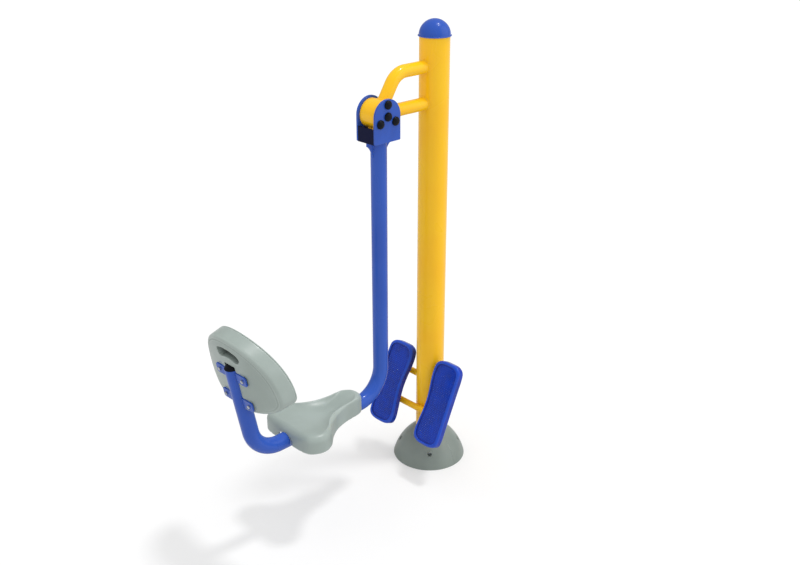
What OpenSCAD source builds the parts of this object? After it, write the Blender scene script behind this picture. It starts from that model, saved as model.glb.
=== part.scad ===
// Outdoor leg press machine for a park: a fixed post with two foot plates, and a seat on a
// hanging arm that swings back from the foot plates.
// Millimetres. Origin on the ground at the post's axis, +X from the seat to the post, +Z up.

/* [Post] */
// Outer diameter of the post
post_d = 114.3; // [100:0.1:125]
// Wall of the post tube
post_wall = 4; // [3:0.5:8]
// Height of the lower edge of the post's cap
post_h = 1783; // [1700:1:1900]
// Diameter of the cap's rim
cap_rim_d = 125; // [121:1:130]
// Diameter of the cap's dome
cap_d = 118.2; // [117.6:0.2:120]
// Wall of the cap
cap_wall = 3.5; // [2.5:0.5:5]

/* [Base] */
// Diameter of the base flange
flange_d = 270; // [260:1:280]
// Thickness of the base flange
flange_t = 12; // [8:1:20]
// Pitch circle of the four anchor holes
anchor_pcd = 220; // [205:1:230]
// Diameter of an anchor hole
anchor_hole_d = 18; // [14:1:20]
// Height of the stiffening ribs round the post
rib_h = 70; // [50:1:76]
// Thickness of a stiffening rib
rib_t = 8; // [5:1:12]
// Diameter of the base cover at the ground
cover_d = 305; // [300:1:312]
// Wall of the base cover
cover_wall = 4; // [3:0.5:5]
// Height of the base cover where it meets the post
cover_h = 133; // [126:1:140]
// Radius of the base cover's curve
cover_curve = 233; // [220:1:250]
// Height of the cover screws
cover_screw_z = 62; // [54:1:66]

/* [Pivot] */
// Distance of the pivot and the hanging arm behind the post's axis
swing_x = 285; // [265:1:310]
// Height of the pivot
hub_z = 1543; // [1500:1:1580]
// Outer diameter of the bearing barrel
barrel_d = 108; // [102:1:112]
// Wall of the bearing barrel
barrel_wall = 4; // [3:0.5:5]
// Length of the bearing barrel
barrel_l = 79; // [76:1:90]
// Diameter of the pivot axle
axle_d = 30; // [26:1:34]
// Outer diameter of a bearing
bearing_d = 62; // [58:1:68]
// Width of a bearing
bearing_w = 16; // [12:1:18]
// Outer diameter of an arm between post and barrel
arm_d = 48.3; // [42:0.1:50]
// Wall of an arm
arm_wall = 3.2; // [2:0.2:5]
// Height of the upper arm at the post over the pivot
upper_arm_rise = 135; // [122:1:150]
// Angle of the upper arm's lower end from the vertical
upper_arm_lean = 33; // [31:1:38]
// Bend radius of the upper arm
upper_arm_r = 80; // [70:1:100]
// How far the hanging arm swings back
swing_max = 30; // [15:1:34]

/* [Yoke] */
// Width of a yoke plate, and of its round top
yoke_w = 125; // [120:1:140]
// Thickness of a yoke plate
yoke_t = 8; // [6:1:12]
// Gap between a yoke plate and the end of the barrel
yoke_gap = 1; // [0.5:0.1:3]
// Drop from the pivot to the yoke's lower edge
yoke_drop = 93; // [90:1:110]
// Radius of the circle of bolts in a yoke plate
flange_bolt_r = 42.5; // [39:0.5:43]
// Diameter of a bolt cap
bolt_cap_d = 32; // [31:0.5:34]
// Height of a bolt cap
bolt_cap_h = 14; // [13:0.5:18]
// Reach of a gusset down the tube
gusset_h = 58; // [40:1:70]

/* [Hanging tube] */
// Outer diameter of the hanging tube
tube_d = 60.3; // [54:0.1:64]
// Wall of the hanging tube
tube_wall = 3.6; // [2.6:0.2:5]
// Height of the tube's axis under the seat
seat_tube_z = 410; // [395:1:425]
// Bend radius of the hanging tube
bend_r = 125; // [115:1:132]
// Length of the level run under the seat
seat_run = 390; // [378:1:405]
// Lean of the rear upright from the vertical
recline = 10.5; // [6:0.5:16]
// Length of the rear upright
upright_l = 288; // [280:1:296]

/* [Seat] */
// Length of the seat
seat_l = 364; // [352:1:368]
// Width of the seat across its rear lobes
seat_w = 304; // [296:1:320]
// Width of the seat at its waist
waist_w = 106; // [98:1:116]
// Width of the seat's nose
nose_w = 92; // [84:1:100]
// Height of the seat's lower edge over the tube's axis
seat_skirt = -12; // [-20:1:-4]
// Height of the seat's rim over the tube's axis
seat_rim = 61; // [58:1:66]
// Depth of the seat's dish
seat_dish = 20; // [8:1:21]
// Wall of the seat shell
seat_wall = 5; // [4:0.5:6]
// Distance of the seat's rear edge in front of the rear bend's centre
seat_setback = 28; // [22:1:34]

/* [Backrest] */
// Width of the backrest
back_w = 412; // [400:1:424]
// Height of the backrest
back_h = 299; // [292:1:306]
// Thickness of the backrest
back_t = 62; // [58:1:70]
// How far the backrest's sides come forward
back_wrap = 46; // [38:1:54]
// Wall of the backrest shell
back_wall = 5; // [4:0.5:6]
// Height of the backrest's lower edge over the end of the rear bend
back_lift = 113; // [108:1:116]
// Width of the hand slot
slot_w = 124; // [110:1:130]
// Height of the hand slot
slot_h = 36; // [28:1:38]

/* [Foot plates] */
// Width of a foot plate
pedal_w = 134; // [126:1:140]
// Length of a foot plate
pedal_l = 356; // [340:1:364]
// Thickness of a foot plate
pedal_t = 32; // [28:1:40]
// Distance between the foot plates' centre lines
pedal_pitch = 264; // [256:1:280]
// Lean of a foot plate from the vertical
pedal_lean = 25; // [22:0.5:27]
// Height of a foot plate's centre
pedal_z = 328; // [322:1:334]
// Outer diameter of the bars that carry the foot plates
bar_d = 26.9; // [24:0.1:30]
// How far those bars stand out beyond the foot plates' centre lines
bar_over = 23; // [23:1:40]

/* [Hidden] */

yellow = [0.98, 0.72, 0.17];
blue = [0.22, 0.34, 0.70];
dark_blue = [0.13, 0.23, 0.58];
plastic_grey = [0.66, 0.71, 0.68];
black = [0.07, 0.07, 0.08];
steel = [0.62, 0.64, 0.66];
rubber = [0.12, 0.12, 0.12];

// Gap between pieces that pass or seat with room
gap = 0.3;
// Running clearance of a turning fit, on the radius
run = 0.05;
// Extra length that takes a cut right through
through = 1;
$fn = 96;

post_r = post_d / 2;
cap_rim_t = 5;
cap_rise = 3;
post_top = post_h + cap_rim_t;
cover_r = cover_d / 2;
arm_r = arm_d / 2;
bar_r = bar_d / 2;
bar_l = pedal_pitch + 2 * bar_over;
tube_r = tube_d / 2;
barrel_r = barrel_d / 2;
barrel_in = barrel_r - barrel_wall;

// The pivot's parts from the middle outwards, along Y
flange_plate_t = 8;
yoke_in = barrel_l / 2 + yoke_gap;
yoke_out = yoke_in + yoke_t;
hub_flange_in = yoke_in - flange_plate_t;
carrier_out = hub_flange_in - 1;
carrier_l = 20;
bearing_out = carrier_out - 1.5;
m8_r = 4;
m8_af = 13;
m8_head = 5.3;
m12_r = 6;
m12_af = 18;
m12_head = 7.5;

// The tube's axis in the XZ plane
front_bend_x = -swing_x - bend_r;
rear_bend_x = front_bend_x - seat_run;
bend_z = seat_tube_z + bend_r;
upright_x = rear_bend_x - bend_r * cos(recline);
upright_z = bend_z - bend_r * sin(recline);
yoke_bottom = hub_z - yoke_drop;
base_plate_t = 10;

// The seat's and the backrest's brackets are flat ears on the sides of the tube
ear_t = 6;
ear_w = 38;
seat_ear = 72;
back_ear = 84;
boss_r = 12;
ear_bolt_in = 18;

// A tube or bar of length l along Z
module pipe(d, wall, l) {
    difference() {
        cylinder(d = d, h = l);
        translate([0, 0, -through]) cylinder(d = d - 2 * wall, h = l + 2 * through);
    }
}

// A flat ring of height h along Z
module ring(r_out, r_in, h) {
    difference() {
        cylinder(r = r_out, h = h);
        translate([0, 0, -through]) cylinder(r = r_in, h = h + 2 * through);
    }
}

// A bent stretch of rod in the XZ plane, about a centre at the origin, from angle a by turn
module bend(d, r, a, turn) {
    rotate([90, 0, 0]) rotate([0, 0, a]) rotate_extrude(angle = turn) translate([r, 0]) circle(d = d);
}

// The faint seam where a straight stretch of rod meets a bend
module seam(d) {
    translate([0, 0, -through]) cylinder(d = d + gap, h = 2 * through);
}

// A hexagon head or nut of height h along Z
module hex(af, h) {
    cylinder(r = af / sqrt(3), h = h, $fn = 6);
}

// Children drawn facing +Z with +Y up, stood on the side given: 1 faces +Y, -1 faces -Y
module on_side(side) {
    mirror([0, side > 0 ? 1 : 0, 0]) rotate([90, 0, 0]) children();
}

// Children moved to the pivot
module at_hub() {
    translate([-swing_x, 0, hub_z]) children();
}

// A point at radius r and angle a from straight down, positive towards the post
function below(r, a) = [r * sin(a), -r * cos(a)];

// Post with its cap

module post() {
    color(yellow) difference() {
        translate([0, 0, flange_t]) pipe(post_d, post_wall, post_top - flange_t);
        pedal_bar_axis(1) cylinder(r = bar_r + gap / 3, h = bar_l + 2 * through, center = true);
    }
}

// A dome on a rim round the post's edge, with a spigot inside the post
module post_cap() {
    dome_r = cap_d / 2;
    spigot_r = post_r - post_wall - gap / 3;
    spigot_l = 30;
    color(blue) translate([0, 0, post_h]) difference() {
        union() {
            rotate_extrude() {
                square([cap_rim_d / 2 - cap_rim_t / 2, cap_rim_t]);
                translate([(cap_rim_d - cap_rim_t) / 2, cap_rim_t / 2]) circle(d = cap_rim_t);
            }
            cylinder(r = dome_r, h = cap_rise);
            translate([0, 0, cap_rise]) intersection() {
                sphere(r = dome_r);
                cylinder(r = cap_rim_d, h = cap_rim_d);
            }
            translate([0, 0, -spigot_l]) cylinder(r = spigot_r, h = spigot_l + through);
        }
        difference() {
            translate([0, 0, -through]) cylinder(r = post_r + gap / 3, h = cap_rim_t + through);
            translate([0, 0, -2 * through]) cylinder(r = spigot_r, h = cap_rim_t + 3 * through);
        }
        translate([0, 0, -spigot_l - through])
            cylinder(r = spigot_r - cap_wall, h = spigot_l + cap_rim_t + 2 * through);
        intersection() {
            translate([0, 0, cap_rise]) sphere(r = dome_r - cap_wall);
            translate([0, 0, cap_rim_t]) cylinder(r = spigot_r - cap_wall, h = cap_rim_d);
        }
    }
}

// Base with its cover

tab_t = 6;
tab_w = 26;
tab_r = 110;
tab_over = 10;
cover_seat_r = tab_r + cover_wall;
screw_pocket_r = 9;
m6_r = 3;
m6_head_r = 6;
m6_head = 3.3;
m6_key = 4;
m6_key_depth = 2.1;
rib_top_w = 8;

// The centre of the arc from the cover's foot to the post, in the profile's plane
cover_chord = [post_r - cover_r, cover_h];
cover_half = norm(cover_chord) / 2;
cover_centre = [cover_r, 0] + cover_chord / 2
    + [-cover_h, cover_chord[0]] / norm(cover_chord) * sqrt(pow(cover_curve, 2) - pow(cover_half, 2));

// The cover's outer form, or the hollow in it when drawn in by the wall
module cover_form(inset) {
    rotate_extrude() intersection() {
        translate(cover_centre) circle(r = cover_curve - inset, $fn = 360);
        translate([0, -sign(inset)]) square([cover_r, cover_h + sign(inset)]);
    }
}

module base_flange() {
    color(yellow) difference() {
        cylinder(d = flange_d, h = flange_t);
        for (a = [0 : 90 : 270]) rotate([0, 0, a]) translate([anchor_pcd / 2, 0, -through])
            cylinder(d = anchor_hole_d, h = flange_t + 2 * through);
    }
}

module base_ribs() {
    rib_end = tab_r - tab_t;
    color(yellow) difference() {
        for (a = [45 : 90 : 315]) rotate([90, 0, a]) translate([0, 0, -rib_t / 2])
            linear_extrude(rib_t) polygon([
                [post_r - through, flange_t], [rib_end, flange_t], [rib_end, flange_t + rib_h / 2],
                [post_r + rib_top_w, flange_t + rib_h], [post_r - through, flange_t + rib_h]
            ]);
        cylinder(r = post_r, h = post_h);
    }
}

module cover_tabs() {
    color(yellow) for (a = [45 : 90 : 315]) rotate([0, 0, a]) difference() {
        translate([tab_r - tab_t, -tab_w / 2, flange_t])
            cube([tab_t, tab_w, cover_screw_z + tab_over - flange_t]);
        translate([tab_r - tab_t - through, 0, cover_screw_z]) rotate([0, 90, 0])
            cylinder(r = m6_r, h = tab_t + 2 * through);
    }
}

// The whole cover, with a flat-bottomed pocket for each screw
module cover_body() {
    difference() {
        union() {
            difference() {
                cover_form(0);
                cover_form(cover_wall);
            }
            intersection() {
                cover_form(1);
                for (a = [45 : 90 : 315]) rotate([0, 0, a])
                    translate([tab_r + gap, 0, cover_screw_z]) rotate([0, 90, 0])
                        cylinder(r = boss_r, h = cover_r - tab_r);
            }
        }
        translate([0, 0, -through]) cylinder(r = post_r + 1, h = cover_h + 2 * through);
        for (a = [45 : 90 : 315]) rotate([0, 0, a])
            translate([cover_seat_r, 0, cover_screw_z]) rotate([0, 90, 0]) {
                cylinder(r = screw_pocket_r, h = cover_r - tab_r);
                translate([0, 0, -cover_wall - through])
                    cylinder(r = m6_r + gap, h = cover_wall + 2 * through);
            }
    }
}

module base_cover_rear() {
    color(plastic_grey) intersection() {
        cover_body();
        translate([-cover_r - through, -cover_r - through, -through])
            cube([cover_r + through - gap / 2, cover_d + 2 * through, cover_h + 2 * through]);
    }
}

module base_cover_front() {
    color(plastic_grey) intersection() {
        cover_body();
        translate([gap / 2, -cover_r - through, -through])
            cube([cover_r + through, cover_d + 2 * through, cover_h + 2 * through]);
    }
}

module cover_screws() {
    shank_l = cover_wall + 1.5 * tab_t;
    color(steel) for (a = [45 : 90 : 315]) rotate([0, 0, a])
        translate([cover_seat_r, 0, cover_screw_z]) rotate([0, 90, 0]) {
            difference() {
                cylinder(r1 = m6_head_r, r2 = 0.75 * m6_head_r, h = m6_head);
                translate([0, 0, m6_head - m6_key_depth]) hex(m6_key, m6_key_depth + through);
            }
            translate([0, 0, -shank_l]) cylinder(r = m6_r, h = shank_l);
        }
}

// Arms and barrel

upper_arm_z = hub_z + upper_arm_rise;
upper_corner_x = -swing_x + upper_arm_rise * tan(upper_arm_lean);
upper_turn = 90 - upper_arm_lean;
upper_tangent = upper_arm_r * tan(upper_turn / 2);

module upper_arm_rod(d) {
    leg = upper_arm_rise / cos(upper_arm_lean) - upper_tangent;
    translate([upper_corner_x + upper_tangent, 0, upper_arm_z]) rotate([0, 90, 0]) {
        cylinder(d = d, h = -upper_corner_x - upper_tangent);
        seam(d);
    }
    translate([upper_corner_x + upper_tangent, 0, upper_arm_z - upper_arm_r])
        bend(d, upper_arm_r, 90, upper_turn);
    at_hub() rotate([0, upper_arm_lean, 0]) {
        cylinder(d = d, h = leg);
        translate([0, 0, leg]) seam(d);
    }
}

module upper_arm() {
    color(yellow) difference() {
        upper_arm_rod(arm_d);
        upper_arm_rod(arm_d - 2 * arm_wall);
        cylinder(r = post_r, h = post_top);
        at_hub() on_side(1) cylinder(r = barrel_r, h = barrel_l, center = true);
    }
}

module lower_arm() {
    color(yellow) difference() {
        translate([-swing_x, 0, hub_z]) rotate([0, 90, 0]) pipe(arm_d, arm_wall, swing_x);
        cylinder(r = post_r, h = post_top);
        at_hub() on_side(1) cylinder(r = barrel_r, h = barrel_l, center = true);
    }
}

module bearing_barrel() {
    color(yellow) at_hub() on_side(1) translate([0, 0, -barrel_l / 2])
        pipe(barrel_d, barrel_wall, barrel_l);
}

carrier_lip = 4;

module bearing_carriers() {
    color(steel) at_hub() for (side = [-1, 1]) on_side(side) difference() {
        translate([0, 0, carrier_out - carrier_l]) cylinder(r = barrel_in, h = carrier_l);
        translate([0, 0, bearing_out - bearing_w]) cylinder(d = bearing_d, h = carrier_l);
        cylinder(d = bearing_d - 2 * carrier_lip, h = barrel_l);
    }
}

ring_t = (bearing_d - axle_d) / 2;
ball_r = ring_t * 0.29;
ball_pitch_r = (bearing_d + axle_d) / 4;
race_t = ring_t * 0.3;
ball_count = 9;
cage_w = 2.4;
cage_t = 1.6;

module bearing_outer_rings() {
    color(steel) at_hub() for (side = [-1, 1]) on_side(side)
        translate([0, 0, bearing_out - bearing_w]) difference() {
            ring(bearing_d / 2, bearing_d / 2 - race_t, bearing_w);
            translate([0, 0, bearing_w / 2]) rotate_extrude()
                translate([ball_pitch_r, 0]) circle(r = ball_r + run);
        }
}

module bearing_inner_rings() {
    color(steel) at_hub() for (side = [-1, 1]) on_side(side)
        translate([0, 0, bearing_out - bearing_w]) difference() {
            ring(axle_d / 2 + race_t, axle_d / 2, bearing_w);
            translate([0, 0, bearing_w / 2]) rotate_extrude()
                translate([ball_pitch_r, 0]) circle(r = ball_r + run);
        }
}

// Nine balls a side, held apart by a flat cage ring
module bearing_balls() {
    color(steel) at_hub() for (side = [-1, 1]) on_side(side)
        translate([0, 0, bearing_out - bearing_w / 2]) {
            ring(ball_pitch_r + cage_w / 2, ball_pitch_r - cage_w / 2, cage_t);
            for (i = [0 : ball_count - 1]) rotate([0, 0, i * 360 / ball_count])
                translate([ball_pitch_r, 0, 0]) sphere(r = ball_r, $fn = 48);
        }
}

// The stop block hangs under the barrel between the two buffers
block_rest_a = -38;
block_limit_a = -14;
block_room = 5;
block_r = yoke_drop - base_plate_t - block_room;
block_half = 18;

module stop_block() {
    color(yellow) at_hub() rotate([90, 0, 0]) translate([0, 0, -block_half])
        linear_extrude(2 * block_half) difference() {
            polygon([
                below(barrel_in, block_rest_a), below(block_r, block_rest_a),
                below(block_r, (block_rest_a + block_limit_a) / 2),
                below(block_r, block_limit_a), below(barrel_in, block_limit_a)
            ]);
            circle(r = barrel_r);
        }
}

// Foot plates and their bars

pedal_plate_t = 5;
channel_h = 23;
channel_w = 44;
channel_over = 35;
bar_wall = 2.6;
bar_plug_h = 3;
bar_plug_in = 12;
pedal_back = pedal_t / 2 + channel_h;
// The lower bar lies on the front of the post, so the plates' place follows from it
lower_bar_x = -(post_r + bar_r);
lower_bar_z = 246;
pedal_mid_x = lower_bar_x + (pedal_z - lower_bar_z) * tan(pedal_lean)
    - (pedal_back + bar_r) / cos(pedal_lean);
bar_spacing = 135;

// Children turned with a bar's axis as Z: 0 is the lower bar, 1 the upper bar
module pedal_bar_axis(which) {
    translate([
        lower_bar_x + which * bar_spacing * sin(pedal_lean), 0,
        lower_bar_z + which * bar_spacing * cos(pedal_lean)
    ]) rotate([90, 0, 0]) children();
}

// Children set on a foot plate: X out of its back, Y across it, Z up along it
module at_pedal(side) {
    translate([pedal_mid_x, side * pedal_pitch / 2, pedal_z]) rotate([0, pedal_lean, 0]) children();
}

module pedal_bar(which) {
    color(yellow) pedal_bar_axis(which) translate([0, 0, -bar_l / 2]) pipe(bar_d, bar_wall, bar_l);
}

module pedal_bar_lower() {
    pedal_bar(0);
}

module pedal_bar_upper() {
    pedal_bar(1);
}

module bar_plugs() {
    color(black) for (which = [0, 1]) pedal_bar_axis(which) for (side = [0, 1])
        mirror([0, 0, side]) translate([0, 0, bar_l / 2]) {
            cylinder(r = bar_r, h = bar_plug_h);
            translate([0, 0, -bar_plug_in])
                cylinder(r = bar_r - bar_wall - gap / 3, h = bar_plug_in);
        }
}

// A channel behind the foot plate, its two flanges notched onto the bars
module pedal_plate(side) {
    channel_l = bar_spacing + 2 * channel_over;
    channel_mid = ((lower_bar_z - pedal_z) / cos(pedal_lean) + bar_spacing / 2)
        + (pedal_back + bar_r) * tan(pedal_lean);
    color(yellow) difference() {
        at_pedal(side) difference() {
            translate([pedal_t / 2, -channel_w / 2, channel_mid - channel_l / 2])
                cube([channel_h + bar_r, channel_w, channel_l]);
            translate([
                pedal_t / 2 + pedal_plate_t, pedal_plate_t - channel_w / 2,
                channel_mid - channel_l / 2 - through
            ]) cube([channel_h + bar_r, channel_w - 2 * pedal_plate_t, channel_l + 2 * through]);
            pedal_bolt_places() translate([0, 0, -through])
                cylinder(r = m8_r + gap, h = pedal_plate_t + 2 * through);
        }
        for (which = [0, 1]) pedal_bar_axis(which) cylinder(r = bar_r, h = bar_l, center = true);
    }
}

// The three bolts of a foot plate, entering from the back
pedal_bolt_low = -88;
pedal_bolt_pitch = 75;
pedal_bolt_in = 14;

module pedal_bolt_places() {
    for (i = [0 : 2]) translate([pedal_t / 2, 0, pedal_bolt_low + i * pedal_bolt_pitch])
        rotate([0, 90, 0]) children();
}

module pedal_plate_left() {
    pedal_plate(1);
}

module pedal_plate_right() {
    pedal_plate(-1);
}

// A rounded rectangle w by l with corners of radius r
module rounded(w, l, r) {
    for (y = [-1, 1]) for (z = [-1, 1]) translate([y * (w / 2 - r), z * (l / 2 - r)]) circle(r = r);
    square([w - 2 * r, l], center = true);
    square([w, l - 2 * r], center = true);
}

// The right foot plate's outline as shares of its half width and length: a sole with a waist
sole = curve([
    [0, 1], [0.55, 0.985], [0.9, 0.9], [1, 0.74], [0.97, 0.5], [0.87, 0.25], [0.82, 0], [0.85, -0.25],
    [0.95, -0.54], [1, -0.76], [0.9, -0.91], [0.55, -0.985], [0, -1], [-0.55, -0.985], [-0.9, -0.91],
    [-1, -0.76], [-1, -0.4], [-1, 0], [-1, 0.4], [-1, 0.74], [-0.9, 0.9], [-0.55, 0.985]
], 3);

// A moulded tread: a raised rim round a sunk face, and hollows in its back
module pedal(side) {
    rim = 10;
    sunk = 6;
    hollow = 14;
    hollow_web = 13;
    hollow_l = 52;
    hollow_end = 18;
    module sole_form(inset) {
        polygon([for (p = sole) [
            -side * p[0] * (pedal_w / 2 - inset), p[1] * (pedal_l / 2 - inset)
        ]]);
    }
    color(dark_blue) at_pedal(side) difference() {
        rotate([90, 0, 90]) translate([0, 0, -pedal_t / 2]) difference() {
            linear_extrude(pedal_t) sole_form(0);
            translate([0, 0, -through]) linear_extrude(sunk + through) sole_form(rim);
            for (y = [-1, 1]) for (z = [-1, 1])
                translate([y * pedal_w / 4, z * (pedal_l / 2 - hollow_end - hollow_l / 2), 0])
                    translate([0, 0, pedal_t - hollow]) linear_extrude(hollow + through)
                        rounded(pedal_w / 2 - 2 * hollow_web, hollow_l, 8);
        }
        pedal_bolt_places() translate([0, 0, -pedal_bolt_in - through])
            cylinder(r = m8_r, h = pedal_bolt_in + 2 * through);
    }
}

module pedal_left() {
    pedal(1);
}

module pedal_right() {
    pedal(-1);
}

module pedal_bolts() {
    color(steel) for (side = [-1, 1]) at_pedal(side) pedal_bolt_places() {
        translate([0, 0, pedal_plate_t]) hex(m8_af, m8_head);
        translate([0, 0, -pedal_bolt_in]) cylinder(r = m8_r, h = pedal_plate_t + pedal_bolt_in);
    }
}

// Axle, yoke and bolts

axle_bolt_in = 24;
axle_hole_l = axle_bolt_in + 2;
hub_room = 0.5;

module pivot_axle() {
    color(steel) at_hub() on_side(1) difference() {
        translate([0, 0, -yoke_in]) cylinder(d = axle_d, h = 2 * yoke_in);
        for (side = [-1, 1]) translate([0, 0, side * yoke_in - (side > 0 ? axle_hole_l : 0)])
            cylinder(r = m12_r, h = axle_hole_l);
    }
}

module hub_flanges() {
    color(steel) at_hub() for (side = [-1, 1]) on_side(side) difference() {
        translate([0, 0, hub_flange_in]) cylinder(r = barrel_in - hub_room, h = flange_plate_t);
        cylinder(d = axle_d, h = yoke_out);
        flange_bolt_places() cylinder(r = m8_r, h = yoke_out);
    }
}

// Three bolts round the pivot: one over it and two below
module flange_bolt_places() {
    for (a = [90, 210, 330]) rotate([0, 0, a]) translate([flange_bolt_r, 0, 0]) children();
}

module yoke_plate(side) {
    color(blue) at_hub() on_side(side) difference() {
        translate([0, 0, yoke_in]) linear_extrude(yoke_t) {
            circle(d = yoke_w);
            translate([-yoke_w / 2, -yoke_drop]) square([yoke_w, yoke_drop]);
        }
        cylinder(r = m12_r + gap, h = yoke_out + through);
        flange_bolt_places() cylinder(r = m8_r + gap, h = yoke_out + through);
    }
}

module yoke_plate_left() {
    yoke_plate(1);
}

module yoke_plate_right() {
    yoke_plate(-1);
}

back_plate_t = 6;
back_plate_h = 56;
front_bar_x = 34;
front_bar_t = 12;
front_bar_h = 26;

module yoke_base_plate() {
    color(blue) at_hub() translate([back_plate_t - yoke_w / 2, -yoke_in, -yoke_drop])
        cube([yoke_w - back_plate_t, 2 * yoke_in, base_plate_t]);
}

// The black plate that closes the yoke behind, down to its lower edge
module yoke_back_plate() {
    color(black) at_hub() translate([-yoke_w / 2, -yoke_in, -yoke_drop])
        cube([back_plate_t, 2 * yoke_in, back_plate_h]);
}

// The bar that stops the swing, between the two plates
module yoke_front_bar() {
    color(blue) at_hub() translate([front_bar_x, -yoke_in, base_plate_t - yoke_drop])
        cube([front_bar_t, 2 * yoke_in, front_bar_h]);
}

// Rubber wedges between the stop block and the yoke, each with its face along a radius
buffer_in = barrel_r + 4;
buffer_out = block_r - 1;
buffer_slack = 0.4;
rest_a = block_rest_a - buffer_slack;
limit_a = block_limit_a + swing_max + buffer_slack;

module buffer(points) {
    color(rubber) at_hub() rotate([90, 0, 0]) translate([0, 0, -block_half])
        linear_extrude(2 * block_half) polygon(points);
}

module rest_buffer() {
    plate_x = back_plate_t - yoke_w / 2;
    buffer([
        below(buffer_in, rest_a), below(buffer_out, rest_a), [plate_x, -buffer_out + 6],
        [plate_x, -buffer_in + 8]
    ]);
}

module limit_buffer() {
    buffer([
        below(buffer_in, limit_a), below(buffer_out, limit_a), [front_bar_x, -buffer_out],
        [front_bar_x, -buffer_in + 1]
    ]);
}

// Two webs with a hollow curve from a wide head under the yoke down to a narrow toe on the tube
module yoke_gussets() {
    reach = yoke_w / 2 - 5;
    toe = tube_r + 3;
    web_t = 8;
    curve_r = gusset_h - 6;
    color(blue) difference() {
        for (side = [0, 1]) translate([-swing_x, 0, yoke_bottom]) mirror([side, 0, 0])
            rotate([90, 0, 0]) translate([0, 0, -web_t / 2]) linear_extrude(web_t) difference() {
                translate([0, -gusset_h]) square([reach, gusset_h]);
                translate([toe + curve_r, -gusset_h]) circle(r = curve_r);
            }
        translate([-swing_x, 0, 0]) cylinder(r = tube_r, h = hub_z);
    }
}

module flange_bolts() {
    color(steel) at_hub() for (side = [-1, 1]) on_side(side) flange_bolt_places() {
        translate([0, 0, yoke_out]) hex(m8_af, m8_head);
        translate([0, 0, hub_flange_in]) cylinder(r = m8_r, h = yoke_out - hub_flange_in);
    }
}

module axle_bolts() {
    color(steel) at_hub() for (side = [-1, 1]) on_side(side) {
        translate([0, 0, yoke_out]) hex(m12_af, m12_head);
        translate([0, 0, yoke_in - axle_bolt_in]) cylinder(r = m12_r, h = axle_bolt_in + yoke_t);
    }
}

// A domed cap over each bolt head
module bolt_caps() {
    cap_wall_t = 1.5;
    module dome(r, h) {
        ball = (r * r + h * h) / (2 * h);
        intersection() {
            translate([0, 0, h - ball]) sphere(r = ball);
            cylinder(r = r, h = h);
        }
    }
    color(black) at_hub() for (side = [-1, 1]) on_side(side) {
        for (i = [0 : 3]) rotate([0, 0, 90 + 120 * i])
            translate([i < 3 ? flange_bolt_r : 0, 0, yoke_out]) difference() {
                union() {
                    cylinder(d = bolt_cap_d, h = bolt_cap_h / 3);
                    translate([0, 0, bolt_cap_h / 3]) dome(bolt_cap_d / 2, bolt_cap_h * 2 / 3);
                }
                translate([0, 0, -through])
                    cylinder(r = bolt_cap_d / 2 - cap_wall_t, h = bolt_cap_h / 3 + through);
                cylinder(r = m12_af / sqrt(3) + gap, h = m12_head + gap);
            }
    }
}

// Hanging tube

module swing_rod(d) {
    translate([-swing_x, 0, bend_z]) cylinder(d = d, h = yoke_bottom - bend_z);
    translate([front_bend_x, 0, bend_z]) bend(d, bend_r, -90, 90);
    translate([rear_bend_x, 0, seat_tube_z]) rotate([0, 90, 0]) {
        cylinder(d = d, h = seat_run);
        seam(d);
    }
    translate([rear_bend_x, 0, bend_z]) bend(d, bend_r, recline - 180, 90 - recline);
    at_upright() {
        cylinder(d = d, h = upright_l);
        seam(d);
    }
}

module swing_tube() {
    color(blue) difference() {
        swing_rod(tube_d);
        swing_rod(tube_d - 2 * tube_wall);
    }
}

// Children stood on the end of the rear bend: Z up the upright, X towards the rider
module at_upright() {
    translate([upright_x, 0, upright_z]) rotate([0, -recline, 0]) children();
}

plug_h = 12;
plug_in = 18;

module tube_plug() {
    ball = (tube_r * tube_r + plug_h * plug_h) / (2 * plug_h);
    color(black) at_upright() translate([0, 0, upright_l]) {
        intersection() {
            translate([0, 0, plug_h - ball]) sphere(r = ball);
            cylinder(r = tube_r, h = plug_h);
        }
        translate([0, 0, -plug_in]) cylinder(r = tube_r - tube_wall - gap / 3, h = plug_in);
    }
}

// A pair of ears of a reach on the sides of a tube along Z, their middle plane at x
module ears(reach, x) {
    difference() {
        translate([x, 0, 0]) cube([ear_t, 2 * reach, ear_w], center = true);
        cylinder(r = tube_r, h = 2 * ear_w, center = true);
        for (side = [-1, 1]) translate([x, side * (reach - ear_w / 2), 0]) rotate([0, 90, 0])
            cylinder(r = m8_r + gap, h = 2 * ear_t, center = true);
    }
}

// The bolts through a pair of ears and into the moulding in front of them
module ear_bolts(reach, x) {
    for (side = [-1, 1]) translate([x - ear_t / 2, side * (reach - ear_w / 2), 0])
        rotate([0, 90, 0]) {
            translate([0, 0, -m8_head]) hex(m8_af, m8_head);
            cylinder(r = m8_r, h = ear_t + ear_bolt_in);
        }
}

// Points on a closed smooth curve through the corners, with n steps from each to the next
function curve_point(a, b, c, d, t) =
    0.5 * (2 * b + (c - a) * t + (2 * a - 5 * b + 4 * c - d) * t * t
    + (3 * b - a - 3 * c + d) * t * t * t);
function curve(corners, n) = let (m = len(corners)) [
    for (i = [0 : m - 1]) for (j = [0 : n - 1]) curve_point(
        corners[(i + m - 1) % m], corners[i], corners[(i + 1) % m], corners[(i + 2) % m], j / n)
];

// A point of an outline drawn in by inset, then shrunk to the share k about the centre c
function drawn_in(point, c, inset, k) =
    let (d = point - c) c + d * (1 - inset / norm(d)) * k;

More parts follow.
